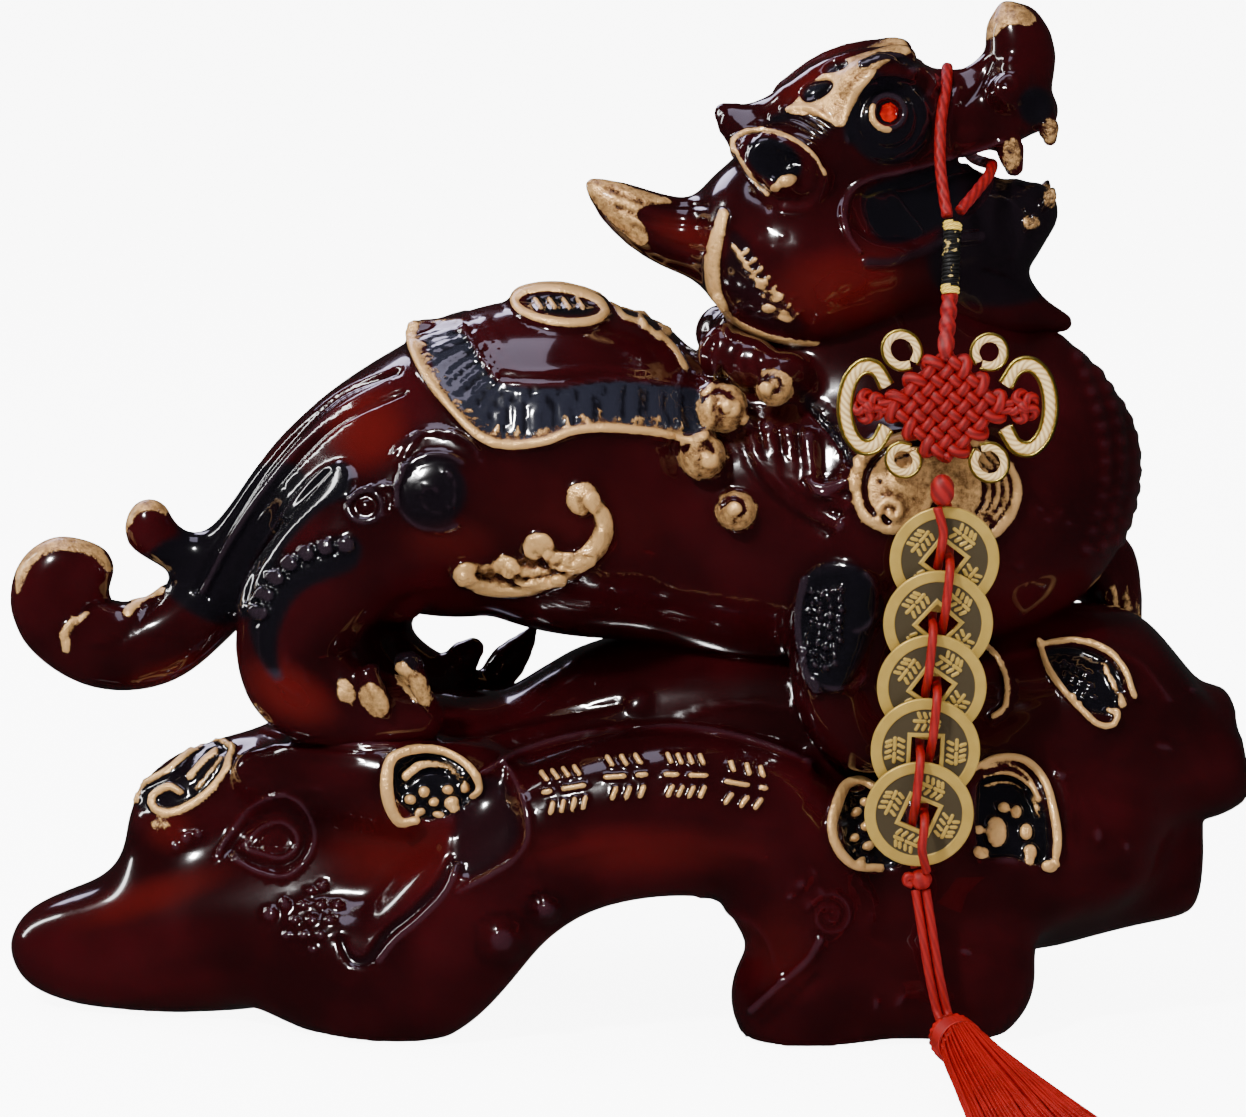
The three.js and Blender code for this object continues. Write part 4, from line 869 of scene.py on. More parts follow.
    # Shoulder cloud: two gilded lobes with scrolls and grooves
    c.area([(852, 470), (862, 448), (886, 436), (930, 430), (985, 440), (1008, 458), (1022, 490),
            (1010, 524), (984, 542), (952, 530), (936, 500), (924, 520), (896, 534), (866, 524),
            (852, 500)], 1.8, 8, gold=0.95)
    c.stroke([(922, 442), (884, 452), (866, 476), (868, 506), (888, 522)], 3.4, -1.2, gold=-0.6)
    c.stroke([(912, 452), (892, 462), (880, 482)], 3, -0.7, gold=-0.4)
    c.boss(905, 470, 28, 26, 1.2)
    c.spiral(892, 512, 15, 1.1, 150, 4, 1.2, gold=0.9)
    for shift in (0, 9, 18, 27):
        c.stroke([(988 - shift, 446), (1008 - shift, 474), (1010 - shift, 502), (990 - shift, 530)], 2.8,
                 -0.9, gold=-0.5)
    # Scaled guard of the near foreleg
    c.area([(802, 580), (828, 562), (858, 566), (874, 586), (872, 622), (858, 660), (840, 690), (812, 690),
            (800, 660), (796, 620)], 1.2, 5, dark=1)
    c.area([(810, 592), (830, 577), (848, 582), (850, 620), (838, 660), (818, 664), (806, 630)], -0.9, 4)
    for i in range(9):
        for j in range(4):
            c.boss(812 + 9.6 * j + 1.4 * math.sin(2.3 * i + j) - 0.9 * i * (1 if i > 5 else 0.4),
                   592 + 9 * i + 3 * math.sin(1.7 * j + 0.6 * i), 4.1, 3.8 + 0.5 * math.sin(3 * i + 2 * j),
                   1.6)
    c.stroke([(804, 580), (797, 620), (803, 664), (816, 690)], 5, 1.6, dark=0.6)
    c.ring(856, 600, 22, 30, 3.2, 0.9, 0, -60, 150)
    c.ring(840, 672, 26, 17, 3.2, 0.9, 0, 10, 150)
    # Scale bumps up the shin, and the paw with its claws
    for u, v in ((258, 612), (265, 595), (275, 578), (289, 563), (306, 553), (325, 547), (345, 545)):
        c.boss(u, v, 11, 9.5, 1.6)
        c.ring(u, v, 12, 10.5, 2.2, -0.5)
    c.area([(252, 610), (290, 556), (352, 536), (356, 566), (300, 592), (276, 640), (280, 680), (256, 650)],
           0.01, 12, dark=0.9)
    c.stroke([(268, 610), (258, 640), (270, 676), (300, 696)], 4, 0.6)
    c.stroke([(286, 656), (292, 672), (300, 666), (308, 684)], 3.4, 0.6)
    c.boss(395, 658, 32, 17, 1.4, 10, dark=0.8)
    for u, v, r, tilt in ((346, 692, 10, -30), (374, 700, 14, -35), (418, 688, 14, -38), (441, 672, 10, -30),
                          (402, 674, 9, 0)):
        c.boss(u, v, r, r * 1.5, 0.6, tilt, gold=0.8)
    # Plates down the chest, and the far paw's claws
    for i in range(12):
        t = i / 11
        for j in range(3):
            c.boss(1078 + 16 * j + 28 * math.sin(2.8 * t), 356 + 17.5 * i - 4 * j, 8.5, 8, 0.9, 30)
    for u, v in ((1048, 520), (1060, 514), (1068, 523), (1040, 508), (1020, 566), (972, 590)):
        c.boss(u, v, 4.5, 3.5, 0.8)
    for u, v in ((1110, 598), (1122, 606), (1134, 606)):
        c.boss(u, v, 6, 26, 0.3, -14, gold=0.6)
        c.stroke([(u - 4, v - 22), (u, v), (u + 2, v + 22)], 2.4, -0.6, gold=-0.4)
    return c, back


def stand_carving():
    c = Carving()
    # Long grain of the roots, and painted glow where light shines through thin lacquer
    for points in ([(120, 985), (220, 962), (300, 985), (380, 1000)],
                   [(1120, 700), (1180, 720), (1236, 726)], [(1060, 880), (1120, 870), (1190, 840)],
                   [(880, 930), (960, 936), (1020, 960)], [(1110, 790), (1160, 800), (1200, 792)],
                   [(1060, 760), (1110, 742), (1150, 700)]):
        c.stroke(points, 12, -0.5)
    c.painted_glow((150, 896, 130, 30, -18, 0.8), (390, 850, 110, 70, 0, 0.7), (640, 850, 190, 44, 0, 0.6),
           (780, 950, 60, 80, 0, 0.5), (170, 830, 40, 40, 0, 0.7))
    back = c.copy()
    # The raised band that carries the strokes, and the hollow beside it
    c.area([(500, 762), (540, 744), (600, 730), (660, 725), (720, 730), (780, 748), (812, 768), (802, 812),
            (760, 830), (700, 816), (640, 812), (580, 826), (540, 846), (526, 812), (520, 782)], 0.4, 8)
    c.stroke([(484, 772), (518, 752), (570, 736), (640, 726), (700, 728), (760, 742), (812, 762)], 4, 1.1)
    c.stroke([(504, 762), (518, 786), (527, 816), (527, 842), (512, 862), (486, 878), (458, 892)], 3.6, 1.0)
    c.area([(468, 786), (500, 778), (514, 804), (518, 836), (502, 858), (470, 876), (452, 862), (456, 820)],
           -1.4, 14, dark=0.6)
    c.stroke([(530, 862), (600, 846), (680, 842), (760, 856)], 8, 0.5)
    # The fork between the left root and the front root
    c.stroke([(450, 862), (436, 888), (412, 912), (386, 934), (368, 960), (350, 958), (338, 932)],
             [4, 5, 5, 5, 6, 5, 3], -1.2, dark=0.6)
    c.stroke([(458, 866), (446, 892), (422, 918), (396, 940), (380, 960)], 4, 1.2)
    # Swirls in the wood
    c.stroke([(216, 858), (228, 836), (250, 808), (278, 795), (302, 804), (315, 832), (308, 858), (286, 876),
              (258, 872), (236, 860)], 2.8, 1.1)
    c.stroke([(228, 852), (250, 824), (278, 806), (298, 816), (305, 836), (298, 856), (278, 866), (250, 860),
              (232, 848)], 2.4, -0.6)
    c.stroke([(244, 846), (262, 828), (282, 822), (296, 834), (296, 848), (282, 858), (262, 854),
              (248, 850)], 2.8, 1.1)
    c.stroke([(262, 842), (272, 834), (284, 836), (286, 846), (276, 850), (264, 848)], 2.4, 0.7)
    c.stroke([(222, 846), (258, 808), (300, 786), (322, 790)], 2.6, 0.6)
    c.spiral(830, 916, 24, 1.9, 200, 3, 0.9)
    # A flower of small knots, and burrs
    for i in range(6):
        a = math.radians(60 * i)
        c.boss(312 + 17 * math.cos(a), 920 + 17 * math.sin(a), 11, 10, 1.3)
        c.ring(312 + 17 * math.cos(a), 920 + 17 * math.sin(a), 7, 6, 2.4, -0.8)
        c.boss(312 + 29 * math.cos(a + 0.5), 920 + 29 * math.sin(a + 0.5), 6, 5, 1.0)
    c.boss(312, 920, 7, 7, 1.3)
    for u, v, r in ((270, 914, 8), (284, 902, 5), (322, 886, 5), (186, 838, 7), (198, 834, 5),
                    (176, 846, 5)):
        c.boss(u, v, r, r, 1.2)
    for u, v, r in ((502, 940, 25), (546, 910, 16)):
        c.boss(u, v, r, r * 0.94, 2.2, soft=True)
        c.boss(u, v, r * 0.5, r * 0.45, 0.8)
        c.ring(u, v, r + 3, r + 2, 2.8, -0.6)
        for i in range(5):
            a = math.radians(72 * i + 20)
            c.stroke([(u + r * 0.5 * math.cos(a), v + r * 0.5 * math.sin(a)),
                      (u + r * 0.95 * math.cos(a), v + r * 0.95 * math.sin(a))], 2.2, -0.4)
    # Three ridges of bark right of the band, and the leading edge of the right foot
    for i in range(4):
        c.stroke([(806, 748 + 6.5 * i), (840, 748 + 6 * i), (878, 750 + 6 * i)], 2.8, 0.9)
    c.stroke([(752, 1010), (776, 988), (806, 962), (820, 940)], 5, 1.4)
    c.stroke([(762, 1024), (790, 1000), (816, 976)], 4, -0.8)
    for u, v, size in ((800, 884, 8), (812, 874, 6), (790, 896, 6), (820, 890, 5), (806, 900, 4)):
        c.boss(u, v, size, size * 0.7, 0.9, -40)
    c.stroke([(330, 736), (400, 740), (470, 736), (540, 720), (620, 704)], 4, -0.7)
    c.stroke([(262, 728), (300, 738), (360, 744), (420, 742)], 4, 0.9)
    c.stroke([(262, 742), (300, 750), (360, 756)], 3, 0.5)
    c.stroke([(680, 720), (720, 706), (770, 704), (810, 716)], 3, 0.6)
    c.boss(638, 702, 12, 14, 0.9, 30)
    for u, v, wide, tall, tilt in ((1164, 747, 11, 5, 12), (1192, 690, 5, 4, 0), (1098, 835, 6, 9, 0),
                                   (1126, 846, 4, 5, 0), (1062, 776, 6, 4, 0), (876, 1004, 4, 9, 0),
                                   (900, 1000, 5, 10, 30), (966, 952, 7, 4, 20)):
        c.boss(u, v, wide, tall, 0.9, tilt)
    for points in ([(1052, 760), (1068, 800), (1070, 850)], [(1090, 640), (1140, 664), (1170, 700)],
                   [(700, 900), (760, 930), (780, 980)], [(860, 880), (872, 900), (870, 920)]):
        c.stroke(points, 4, 0.6)
    # Broken knot on the left: a gilded lip that curls in, and a nugget
    c.area([(136, 806), (134, 790), (152, 776), (190, 748), (214, 736), (234, 744), (232, 764), (212, 790),
            (192, 806), (166, 816), (150, 812)], -0.7, 8, dark=0.8, gold=0.3)
    c.stroke([(136, 800), (140, 786), (166, 770), (192, 749), (214, 738), (232, 746)], 3.4, 1.3, gold=0.9)
    c.stroke([(232, 748), (222, 774), (200, 798), (172, 812), (154, 808), (152, 796), (168, 786),
              (180, 792)], [4, 4, 5, 5, 4.5, 4, 4, 3], 1.5, gold=0.95)
    c.stroke([(190, 776), (204, 760), (216, 750)], 4, 1.0, gold=0.7)
    c.stroke([(196, 790), (212, 770), (222, 756)], 3, 0.8, gold=0.6)
    c.boss(160, 824, 11, 8, 0.4, gold=0.55)
    # Broken knot in the middle: a folded lip, a brown fold under it, and nuggets
    c.area([(400, 800), (394, 768), (412, 754), (444, 754), (468, 772), (474, 792), (452, 812), (424, 818)],
           -2.4, 8, dark=1)
    c.stroke([(416, 820), (400, 822), (389, 804), (386, 780), (392, 758), (412, 750), (440, 752), (462, 762),
              (476, 776), (479, 790), (472, 796)], [4, 6, 7, 7, 6, 5, 5, 5, 5, 4, 3], 2.4, gold=0.95)
    c.stroke([(406, 776), (422, 764), (444, 764), (464, 776)], 6, 1.6, gold=0.5)
    c.stroke([(404, 786), (424, 772), (448, 772)], 2.6, -0.8, gold=-0.5)
    for u, v, wide, tall in ((410, 800, 7, 6), (424, 792, 6, 6), (434, 802, 6, 5), (448, 790, 6, 5),
                             (452, 804, 9, 9), (466, 788, 6, 7), (420, 812, 7, 5), (438, 814, 7, 4)):
        c.boss(u, v, wide, tall, 2.2, gold=0.9)
    # Two broken knots behind the lowest coin
    c.area([(846, 800), (862, 792), (900, 792), (900, 862), (858, 858), (844, 830)], -2.2, 8, dark=1)
    c.stroke([(876, 788), (862, 780), (846, 785), (836, 806), (832, 830), (840, 852), (856, 866),
              (880, 868)], [4, 5, 6, 6, 5.5, 5.5, 5, 4], 2.2, gold=0.95)
    for u, v, wide in ((856, 812, 7), (864, 802, 5), (866, 826, 6), (854, 838, 6), (868, 846, 7),
                       (862, 860, 6)):
        c.boss(u, v, wide, 5, 2.0, -25, gold=0.85)
    c.area([(980, 782), (1010, 776), (1036, 796), (1048, 830), (1044, 862), (1010, 856), (980, 850)], -2.2,
           8, dark=1)
    c.stroke([(972, 770), (996, 758), (1024, 760), (1044, 780), (1054, 812), (1058, 840), (1055, 862)],
             [3, 4, 5, 5, 5, 5, 4], 2.2, gold=0.62)
    for shift in (0, 9, 18):
        c.stroke([(984, 768 + shift), (1008, 764 + shift), (1028, 776 + shift), (1040, 800 + shift)], 2.8,
                 1.3, gold=0.5)
    for u, v, wide, tall in ((996, 832, 12, 17), (1016, 812, 6, 7), (1026, 832, 7, 9), (1004, 808, 7, 6),
                             (1030, 854, 8, 11), (982, 852, 9, 7), (1050, 866, 9, 7), (980, 830, 5, 6)):
        c.boss(u, v, wide, tall, 2.2, gold=0.7)
    # The leaf-shaped hollow on the right, and the arc beside the coins
    c.area([(1046, 652), (1078, 648), (1106, 660), (1122, 684), (1112, 712), (1088, 708), (1064, 684)],
           -2.0, 8, dark=1)
    c.stroke([(1040, 644), (1076, 640), (1106, 650), (1124, 668), (1134, 696)], [3, 3, 3.5, 3.5, 3], 1.6,
             gold=0.6)
    c.stroke([(1040, 644), (1050, 672), (1074, 702), (1098, 724), (1114, 724), (1117, 712), (1108, 710)],
             3.2, 1.6, gold=0.7)
    c.stroke([(1104, 664), (1114, 684), (1122, 704)], 4.5, 1.2, gold=0.6)
    for i in range(14):
        c.boss(1064 + 8 * (i % 4) + 3 * (i // 4), 662 + 12 * (i // 4) + 4 * (i % 4), 4, 4, 1.2)
    c.stroke([(984, 644), (998, 658), (1007, 682), (1005, 706), (994, 716)], 4, 1.3, gold=0.45)
    # Rows of shallow strokes on the band, in place of words
    for i, (u, v, tilt) in enumerate(((564, 790, -10), (626, 777, -4), (686, 776, 2), (746, 786, 10))):
        turn, side = math.cos(math.radians(tilt)), math.sin(math.radians(tilt))
        for points in STROKES[i]:
            c.stroke([(u + p * turn - q * side, v + p * side + q * turn) for p, q in points], 2.7, 1.3,
                     gold=1, flat=True)
    return c, back


# Rows of plain strokes: slanted ticks, broken bars, and ticks the other way
STROKES = tuple(
    tuple([((x - 3, -21), (x + 1, -13)) for x in ticks]
          + [((-20, -1), (cut - 7, -1)), ((cut + 7, -1), (20, -1))]
          + [((x + 3, 11), (x - 1, 20)) for x in ticks[::-1]])
    for ticks, cut in (((-16, -5, 6, 17), -7), ((-14, 0, 14), 5), ((-16, -6, 5, 16), -2), ((-16, 0, 14), 8))
)


# Finishes


class Value:
    """A number socket that Python's operators work on, each adding its Math node."""

    def __init__(self, paint, socket):
        self.paint, self.socket = paint, socket

    def _with(self, operation, *others):
        return self.paint.maths(operation, self, *others)

    def __add__(self, other):
        return self._with("ADD", other)

    __radd__ = __add__

    def __mul__(self, other):
        return self._with("MULTIPLY", other)

    __rmul__ = __mul__

    def __sub__(self, other):
        return self._with("SUBTRACT", other)

    def __rsub__(self, other):
        return self.paint.maths("SUBTRACT", other, self)

    def at_most(self, other):
        return self._with("MINIMUM", other)


class Finish:
    """A material under construction."""

    def __init__(self, name, **constants):
        self.material = bpy.data.materials.new(name)
        self.material.use_nodes = True
        self.tree = self.material.node_tree
        self.shader = self.tree.nodes["Principled BSDF"]
        for key, value in constants.items():
            self.shader.inputs[key.replace("_", " ")].default_value = value

    def node(self, kind, settings=None, **inputs):
        """A node of any type: its settings first, then values or links for its inputs."""
        made = self.tree.nodes.new("ShaderNode" + kind)
        for key, value in (settings or {}).items():
            setattr(made, key, value)
        for key, value in inputs.items():
            socket = made.inputs[int(key[1:])] if key[0] == "_" else made.inputs[key.replace("_", " ")]
            self.join(value, socket)
        return made

    def join(self, value, socket):
        if isinstance(value, Value):
            value = value.socket
        if isinstance(value, bpy.types.NodeSocket):
            self.tree.links.new(value, socket)
        else:
            socket.default_value = value

    def maths(self, operation, *values):
        made = self.node("Math", {"operation": operation}, **{f"_{i}": v for i, v in enumerate(values)})
        return Value(self, made.outputs[0])

    def ramp(self, value, low, high):
        """0 at low, 1 at high, smooth between."""
        made = self.node("MapRange", {"interpolation_type": "SMOOTHSTEP"}, Value=value, From_Min=low,
                         From_Max=high)
        return Value(self, made.outputs[0])

    def mix(self, share, first, second):
        """Between two colours."""
        made = self.node("Mix", {"data_type": "RGBA"}, _0=share, _6=first, _7=second)
        return made.outputs[2]

    def layer(self, name):
        """The four parts of a colour attribute as numbers."""
        source = self.node("Attribute", {"attribute_name": name})
        parts = self.node("SeparateColor", None, Color=source.outputs["Color"])
        return [Value(self, parts.outputs[i]) for i in range(3)] + [Value(self, source.outputs["Alpha"])]

    def noise(self, scale, detail, roughness=0.5):
        """A cloudy number over the object's own coordinates."""
        made = self.node("TexNoise", None, Vector=self.node("TexCoord").outputs["Object"], Scale=scale,
                         Detail=detail, Roughness=roughness)
        return Value(self, made.outputs[0])

    def cord_mark(self):
        """How far along and round its cord each place lies."""
        along = self.node("Attribute", {"attribute_name": "cord"}).outputs["Vector"]
        return self.node("SeparateXYZ", None, Vector=along).outputs

    def bump(self, height, distance, strength=1.0):
        made = self.node("Bump", None, Height=height, Distance=distance, Strength=strength)
        self.join(made.outputs[0], self.shader.inputs["Normal"])

    def set(self, **inputs):
        for key, value in inputs.items():
            self.join(value, self.shader.inputs[key.replace("_", " ")])


def colour(red, green, blue):
    return (red, green, blue, 1.0)


def lacquer_finish():
    """Dark red lacquer, nearly black with painted shade in its hollows and painted glow where it is thin,
    painted highlights on its crests, and gold brushed over the raised carving.
    """
    finish = Finish("lacquer", Coat_Roughness=0.03, Coat_IOR=1.5, IOR=1.5, Specular_IOR_Level=0.3)
    # The skin's gold, painted glow, dark and crest layers
    gold, glow, dark, crest = finish.layer("finish")
    cloudy = finish.noise(38, 3)
    fine = finish.noise(1100, 3, roughness=0.7)
    streak = finish.noise(560, 4, roughness=0.7)
    # Near-black lacquer, varied at random, darker in hollows and lighter on crests as painted shade
    deep = finish.mix(finish.ramp(cloudy + (crest - 0.5) * 0.4, 0.3, 0.8), colour(0.009, 0.0008, 0.0012),
                      colour(0.026, 0.0015, 0.0024))
    # Painted glow: redder where light shines through thin lacquer
    red = finish.mix(finish.ramp(glow + (cloudy - 0.5) * 0.35, 0.1, 1.1), deep, colour(0.056, 0.003, 0.0025))
    # Near black where the dark layer is high, turning to a painted blue-grey sheen where the glow layer is
    # also high
    black_and_painted_sheen = finish.mix(finish.ramp(glow, 0.62, 0.82), colour(0.0028, 0.0024, 0.0036),
                       colour(0.011, 0.0115, 0.018))
    body = finish.mix(finish.ramp(dark + (cloudy - 0.5) * 0.3, 0.15, 0.95), red, black_and_painted_sheen)
    # Painted highlight: a purple-grey lightening on the crests of the carving
    body = finish.mix(finish.ramp(crest, 0.62, 1.0) * 0.35, body, colour(0.030, 0.017, 0.025))
    worn = ((crest - 0.5) * 0.9 + (streak - 0.5) * 1.0 + (fine - 0.5) * 0.4) * (gold * 4).at_most(1)
    brushed = finish.ramp(gold + worn, 0.42, 0.72)
    # Gilt tone: streaks of the brushing, with a painted highlight on crests and painted shade in the grooves
    tone = finish.ramp(streak * 0.75 + fine * 0.25 + (crest - 0.5) * 0.7, 0.27, 0.76)
    pale = finish.mix(tone, colour(0.090, 0.030, 0.008), colour(0.78, 0.45, 0.17))
    finish.set(Base_Color=finish.mix(brushed, body, pale), Metallic=brushed * 0.55,
               Roughness=0.12 + brushed * 0.20 + fine * 0.03, Coat_Weight=0.7 - brushed * 0.35)
    finish.bump(streak * brushed + fine * brushed * 0.5, 0.0005, 0.8)
    return finish.material


# Steps that build the pieces


class PIXIU_PG_sizes(bpy.types.PropertyGroup):
    """Sizes that a user would change."""

    thread: bpy.props.FloatProperty(name="Thread", description="Thickness of one tassel thread",
                                    default=0.0007, unit="LENGTH", subtype="DISTANCE")
    threads: bpy.props.IntProperty(name="Threads", description="Number of tassel threads", default=320)


class PIXIU_OT_figure(bpy.types.Operator):
    """Builds the animal and its stand"""

    bl_idname = "pixiu.figure"
    bl_label = "Figure and stand"

    def execute(self, context):
        lacquer = lacquer_finish()
        for name, form, carving in (("head", head_form, head_carving), ("animal", body_form, body_carving),
                                    ("root_stand", stand_form, stand_carving)):
            shape, (front, back) = form(), carving()
            front.settle()
            back.settle()
            shape.carve(front, back)
            piece = add_piece(name, shape.mesh(name, front, back), lacquer)
            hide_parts("pixiu_on_root_stand")
        gem = Finish("eye_stone", Transmission_Weight=0.35, IOR=1.6, Coat_Weight=1.0, Coat_Roughness=0.02,
                     Roughness=0.08)
        depth = gem.noise(420, 2)
        gem.set(Base_Color=gem.mix(gem.ramp(depth, 0.3, 0.7), colour(0.30, 0.002, 0.002),
                                   colour(0.80, 0.02, 0.008)))
        gem.bump(depth, 0.00008, 0.4)
        for name in ("eye_stone_near", "eye_stone_far"):
            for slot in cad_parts[name].material_slots:
                slot.material = gem.material
        return {"FINISHED"}


# The charm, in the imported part's own places


class Parts:
    """Tubes and other bits gathered into one mesh, each point with how far along and round it lies."""

    def __init__(self):
        self.points, self.faces, self.marks, self.count = [], [], [], 0

    def add(self, points, faces, marks=None):
        self.points.append(np.asarray(points, float))
        self.faces.append(np.asarray(faces) + self.count)
        self.marks.append(np.zeros((len(points), 3)) if marks is None else np.asarray(marks, float))
        self.count += len(points)

    def tube(self, path, radius, around=10, shape=None):
        """A closed tube along a path in millimetres. shape(s, angle) scales its radius."""
        path = np.asarray(path, float)
        along = np.gradient(path, axis=0)
        along /= np.linalg.norm(along, axis=1)[:, None]
        run = np.concatenate([[0], np.cumsum(np.linalg.norm(np.diff(path, axis=0), axis=1))])
        side = np.cross(along[0], (0.3, 1, 0.2))
        sides = []
        for direction in along:
            side = side - direction * (side @ direction)
            side /= np.linalg.norm(side)
            sides.append(side)
        sides = np.array(sides)
        ups = np.cross(along, sides)
        angle = 2 * np.pi * np.arange(around) / around
        reach = np.ones((len(path), around))
        if shape is not None:
            reach = shape(run[:, None], angle[None, :]) * reach
        size = np.broadcast_to(np.asarray(radius, float), len(path))[:, None]
        reach = (reach * size)[:, :, None]
        rows = (path[:, None] + reach * (sides[:, None] * np.cos(angle)[None, :, None]
                                         + ups[:, None] * np.sin(angle)[None, :, None]))
        index = np.arange(len(path) * around).reshape(len(path), around)
        after = np.roll(index, -1, axis=1)
        faces = np.stack([index[:-1], after[:-1], after[1:], index[1:]], axis=-1).reshape(-1, 4)
        ends = []
        for ring, turned in ((index[0], True), (index[-1], False)):
            for i in range(around // 2 - 1):
                face = [ring[i], ring[i + 1], ring[around - 2 - i], ring[around - 1 - i]]
                ends.append(face[::-1] if turned else face)
        marks = np.stack([np.broadcast_to(run[:, None], reach.shape[:2]),
                          np.broadcast_to(angle[None, :], reach.shape[:2]),
                          np.zeros(reach.shape[:2])], axis=-1)
        self.add(rows.reshape(-1, 3), np.concatenate([faces, ends]), marks.reshape(-1, 3))

    def mesh(self, name):
        mesh = new_mesh(name, np.concatenate(self.points) * MM, np.concatenate(self.faces))
        attribute = mesh.attributes.new("cord", "FLOAT_VECTOR", "POINT")
        attribute.data.foreach_set("vector", np.concatenate(self.marks).astype(np.float32).ravel())
        shape = bmesh.new()
        shape.from_mesh(mesh)
        bmesh.ops.recalc_face_normals(shape, faces=shape.faces)
        shape.to_mesh(mesh)
        shape.free()
        mesh.shade_smooth()
        return mesh


def braid(count, pitch, depth):
    """Strands that cross over and under round a cord."""
    def shape(s, angle):
        turn = 2 * np.pi * s / pitch
        over = np.maximum(np.cos(count * angle + turn), np.cos(count * angle - turn))
        return 1 - depth + depth * over
    return shape


def twist(lobes, pitch, depth):
    """Strands laid together like a rope."""
    def shape(s, angle):
        return 1 - depth + depth * np.abs(np.cos(lobes * (angle + 2 * np.pi * s / pitch) / 2)) * 1.6
    return shape


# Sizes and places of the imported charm, in millimetres
LOOP_CORD = 2.6
STRAND = 2.0
GAP = 0.3
KNOT_SIDE = 19.0
COIN_RADIUS, COIN_THICK, COIN_HOLE, COIN_RELIEF = 12.0, 1.0, 3.2, 0.26
COIN_TURNS = (38, 42, 36, 2, 24)
COIN_PITCH, COIN_LEAN = 14.1, 5.5
LOOP_ROUTE = ((71.3, -30.5, 183.5), (70.6, -27.5, 188), (70, -22.5, 195), (70.4, -17.5, 203),
              (71.8, -11, 209.8), (72.5, -3, 213.6), (73, 5, 210.1), (73.6, 11.4, 203.4), (75.5, 13, 196.5),
              (79, 9, 192.4), (82, 0, 191.9), (82.5, -8, 192.3), (81, -16, 190.6), (77.5, -23.5, 187.5),
              (74.2, -28.5, 184.5))
SLEEVE_TOP = np.array((72.4, -31.5, 182.4))
SLEEVE_LENGTH, SLEEVE_RING = 16.4, 1.9
KNOT_CENTRE = np.array((70.5, -45.0, 143.4))
BUTTON_CENTRE = np.array((69.6, -51.2, 125.8))
FIRST_COIN = np.array((70.3, -49.6, 110.2))
LAST_COIN = np.array((65.0, -54.0, 54.0))
END_KNOT = np.array((65.6, -52.8, 39.2))
TASSEL_TOP = np.array((71.5, -57.5, 8.0))
TASSEL_END = np.array((91.0, -136.0, 0.0))
HEAD_LENGTH, SKIRT_LENGTH, SPREAD = 13.0, 66.0, 34.0

COIN_AXIS = (LAST_COIN - FIRST_COIN) / np.linalg.norm(LAST_COIN - FIRST_COIN)
ALONG = (TASSEL_END - TASSEL_TOP) * (1, 1, 0)
ALONG /= np.linalg.norm(ALONG)
ACROSS = np.array((-ALONG[1], ALONG[0], 0))


def strand_route(side, front):
    """The way of one strand through the coins' holes, from opposite faces by turns."""
    apart = side * (STRAND / 2 + GAP / 2)

    def at(index, sway, rise):
        return FIRST_COIN + COIN_AXIS * (COIN_PITCH * index - rise) + (apart, sway, 0)
    rows = [BUTTON_CENTRE + (apart, -1.8 if front else 1.8, -3.5), at(-0.5, 3.6 * (-1 if front else 1), 0)]
    for i in range(len(COIN_TURNS)):
        back = (i % 2 == 0) == front
        steps = ((-3.2, 3.6), (0, 0), (3.2, -3.6)) if back else ((4.2, 3.4), (2.8, 0.6), (-2.8, -0.6),
                                                                 (-4.2, -3.4))
        rows += [at(i, sway, rise) for sway, rise in steps]
        rows.append(at(i + 0.5, 3.6 if back else -3.6, 0))
    rows.append(END_KNOT + (apart, 1.8 if front else -1.8, 2.3))
    return rows


def drop_route(side):
    """The way of one strand from the end knot down to the tassel."""
    apart = side * (STRAND / 2 + GAP / 2)
    top = END_KNOT + (apart, 0, -2.3)
    foot = TASSEL_TOP - ALONG * (STRAND / 2 + GAP) + ACROSS * apart
    return [top + (foot - top) * share + (0, out, up) for share, out, up in
            ((0, 0, 0), (0.25, -0.6, -1.5), (0.55, -0.2, -3), (0.85, 1.2, -2), (1, 0, 0))]


def cord_piece(name, route, diameter, shape, material, around=20, **facts):
    """A free cord as a mesh tube along its route."""
    path = flowing(route, 0.35)
    parts = Parts()
    parts.tube(path, diameter / 2, around, shape)
    piece = add_piece(name, parts.mesh(name), material)
    facts.setdefault("exit", path[0] * MM)
    return piece


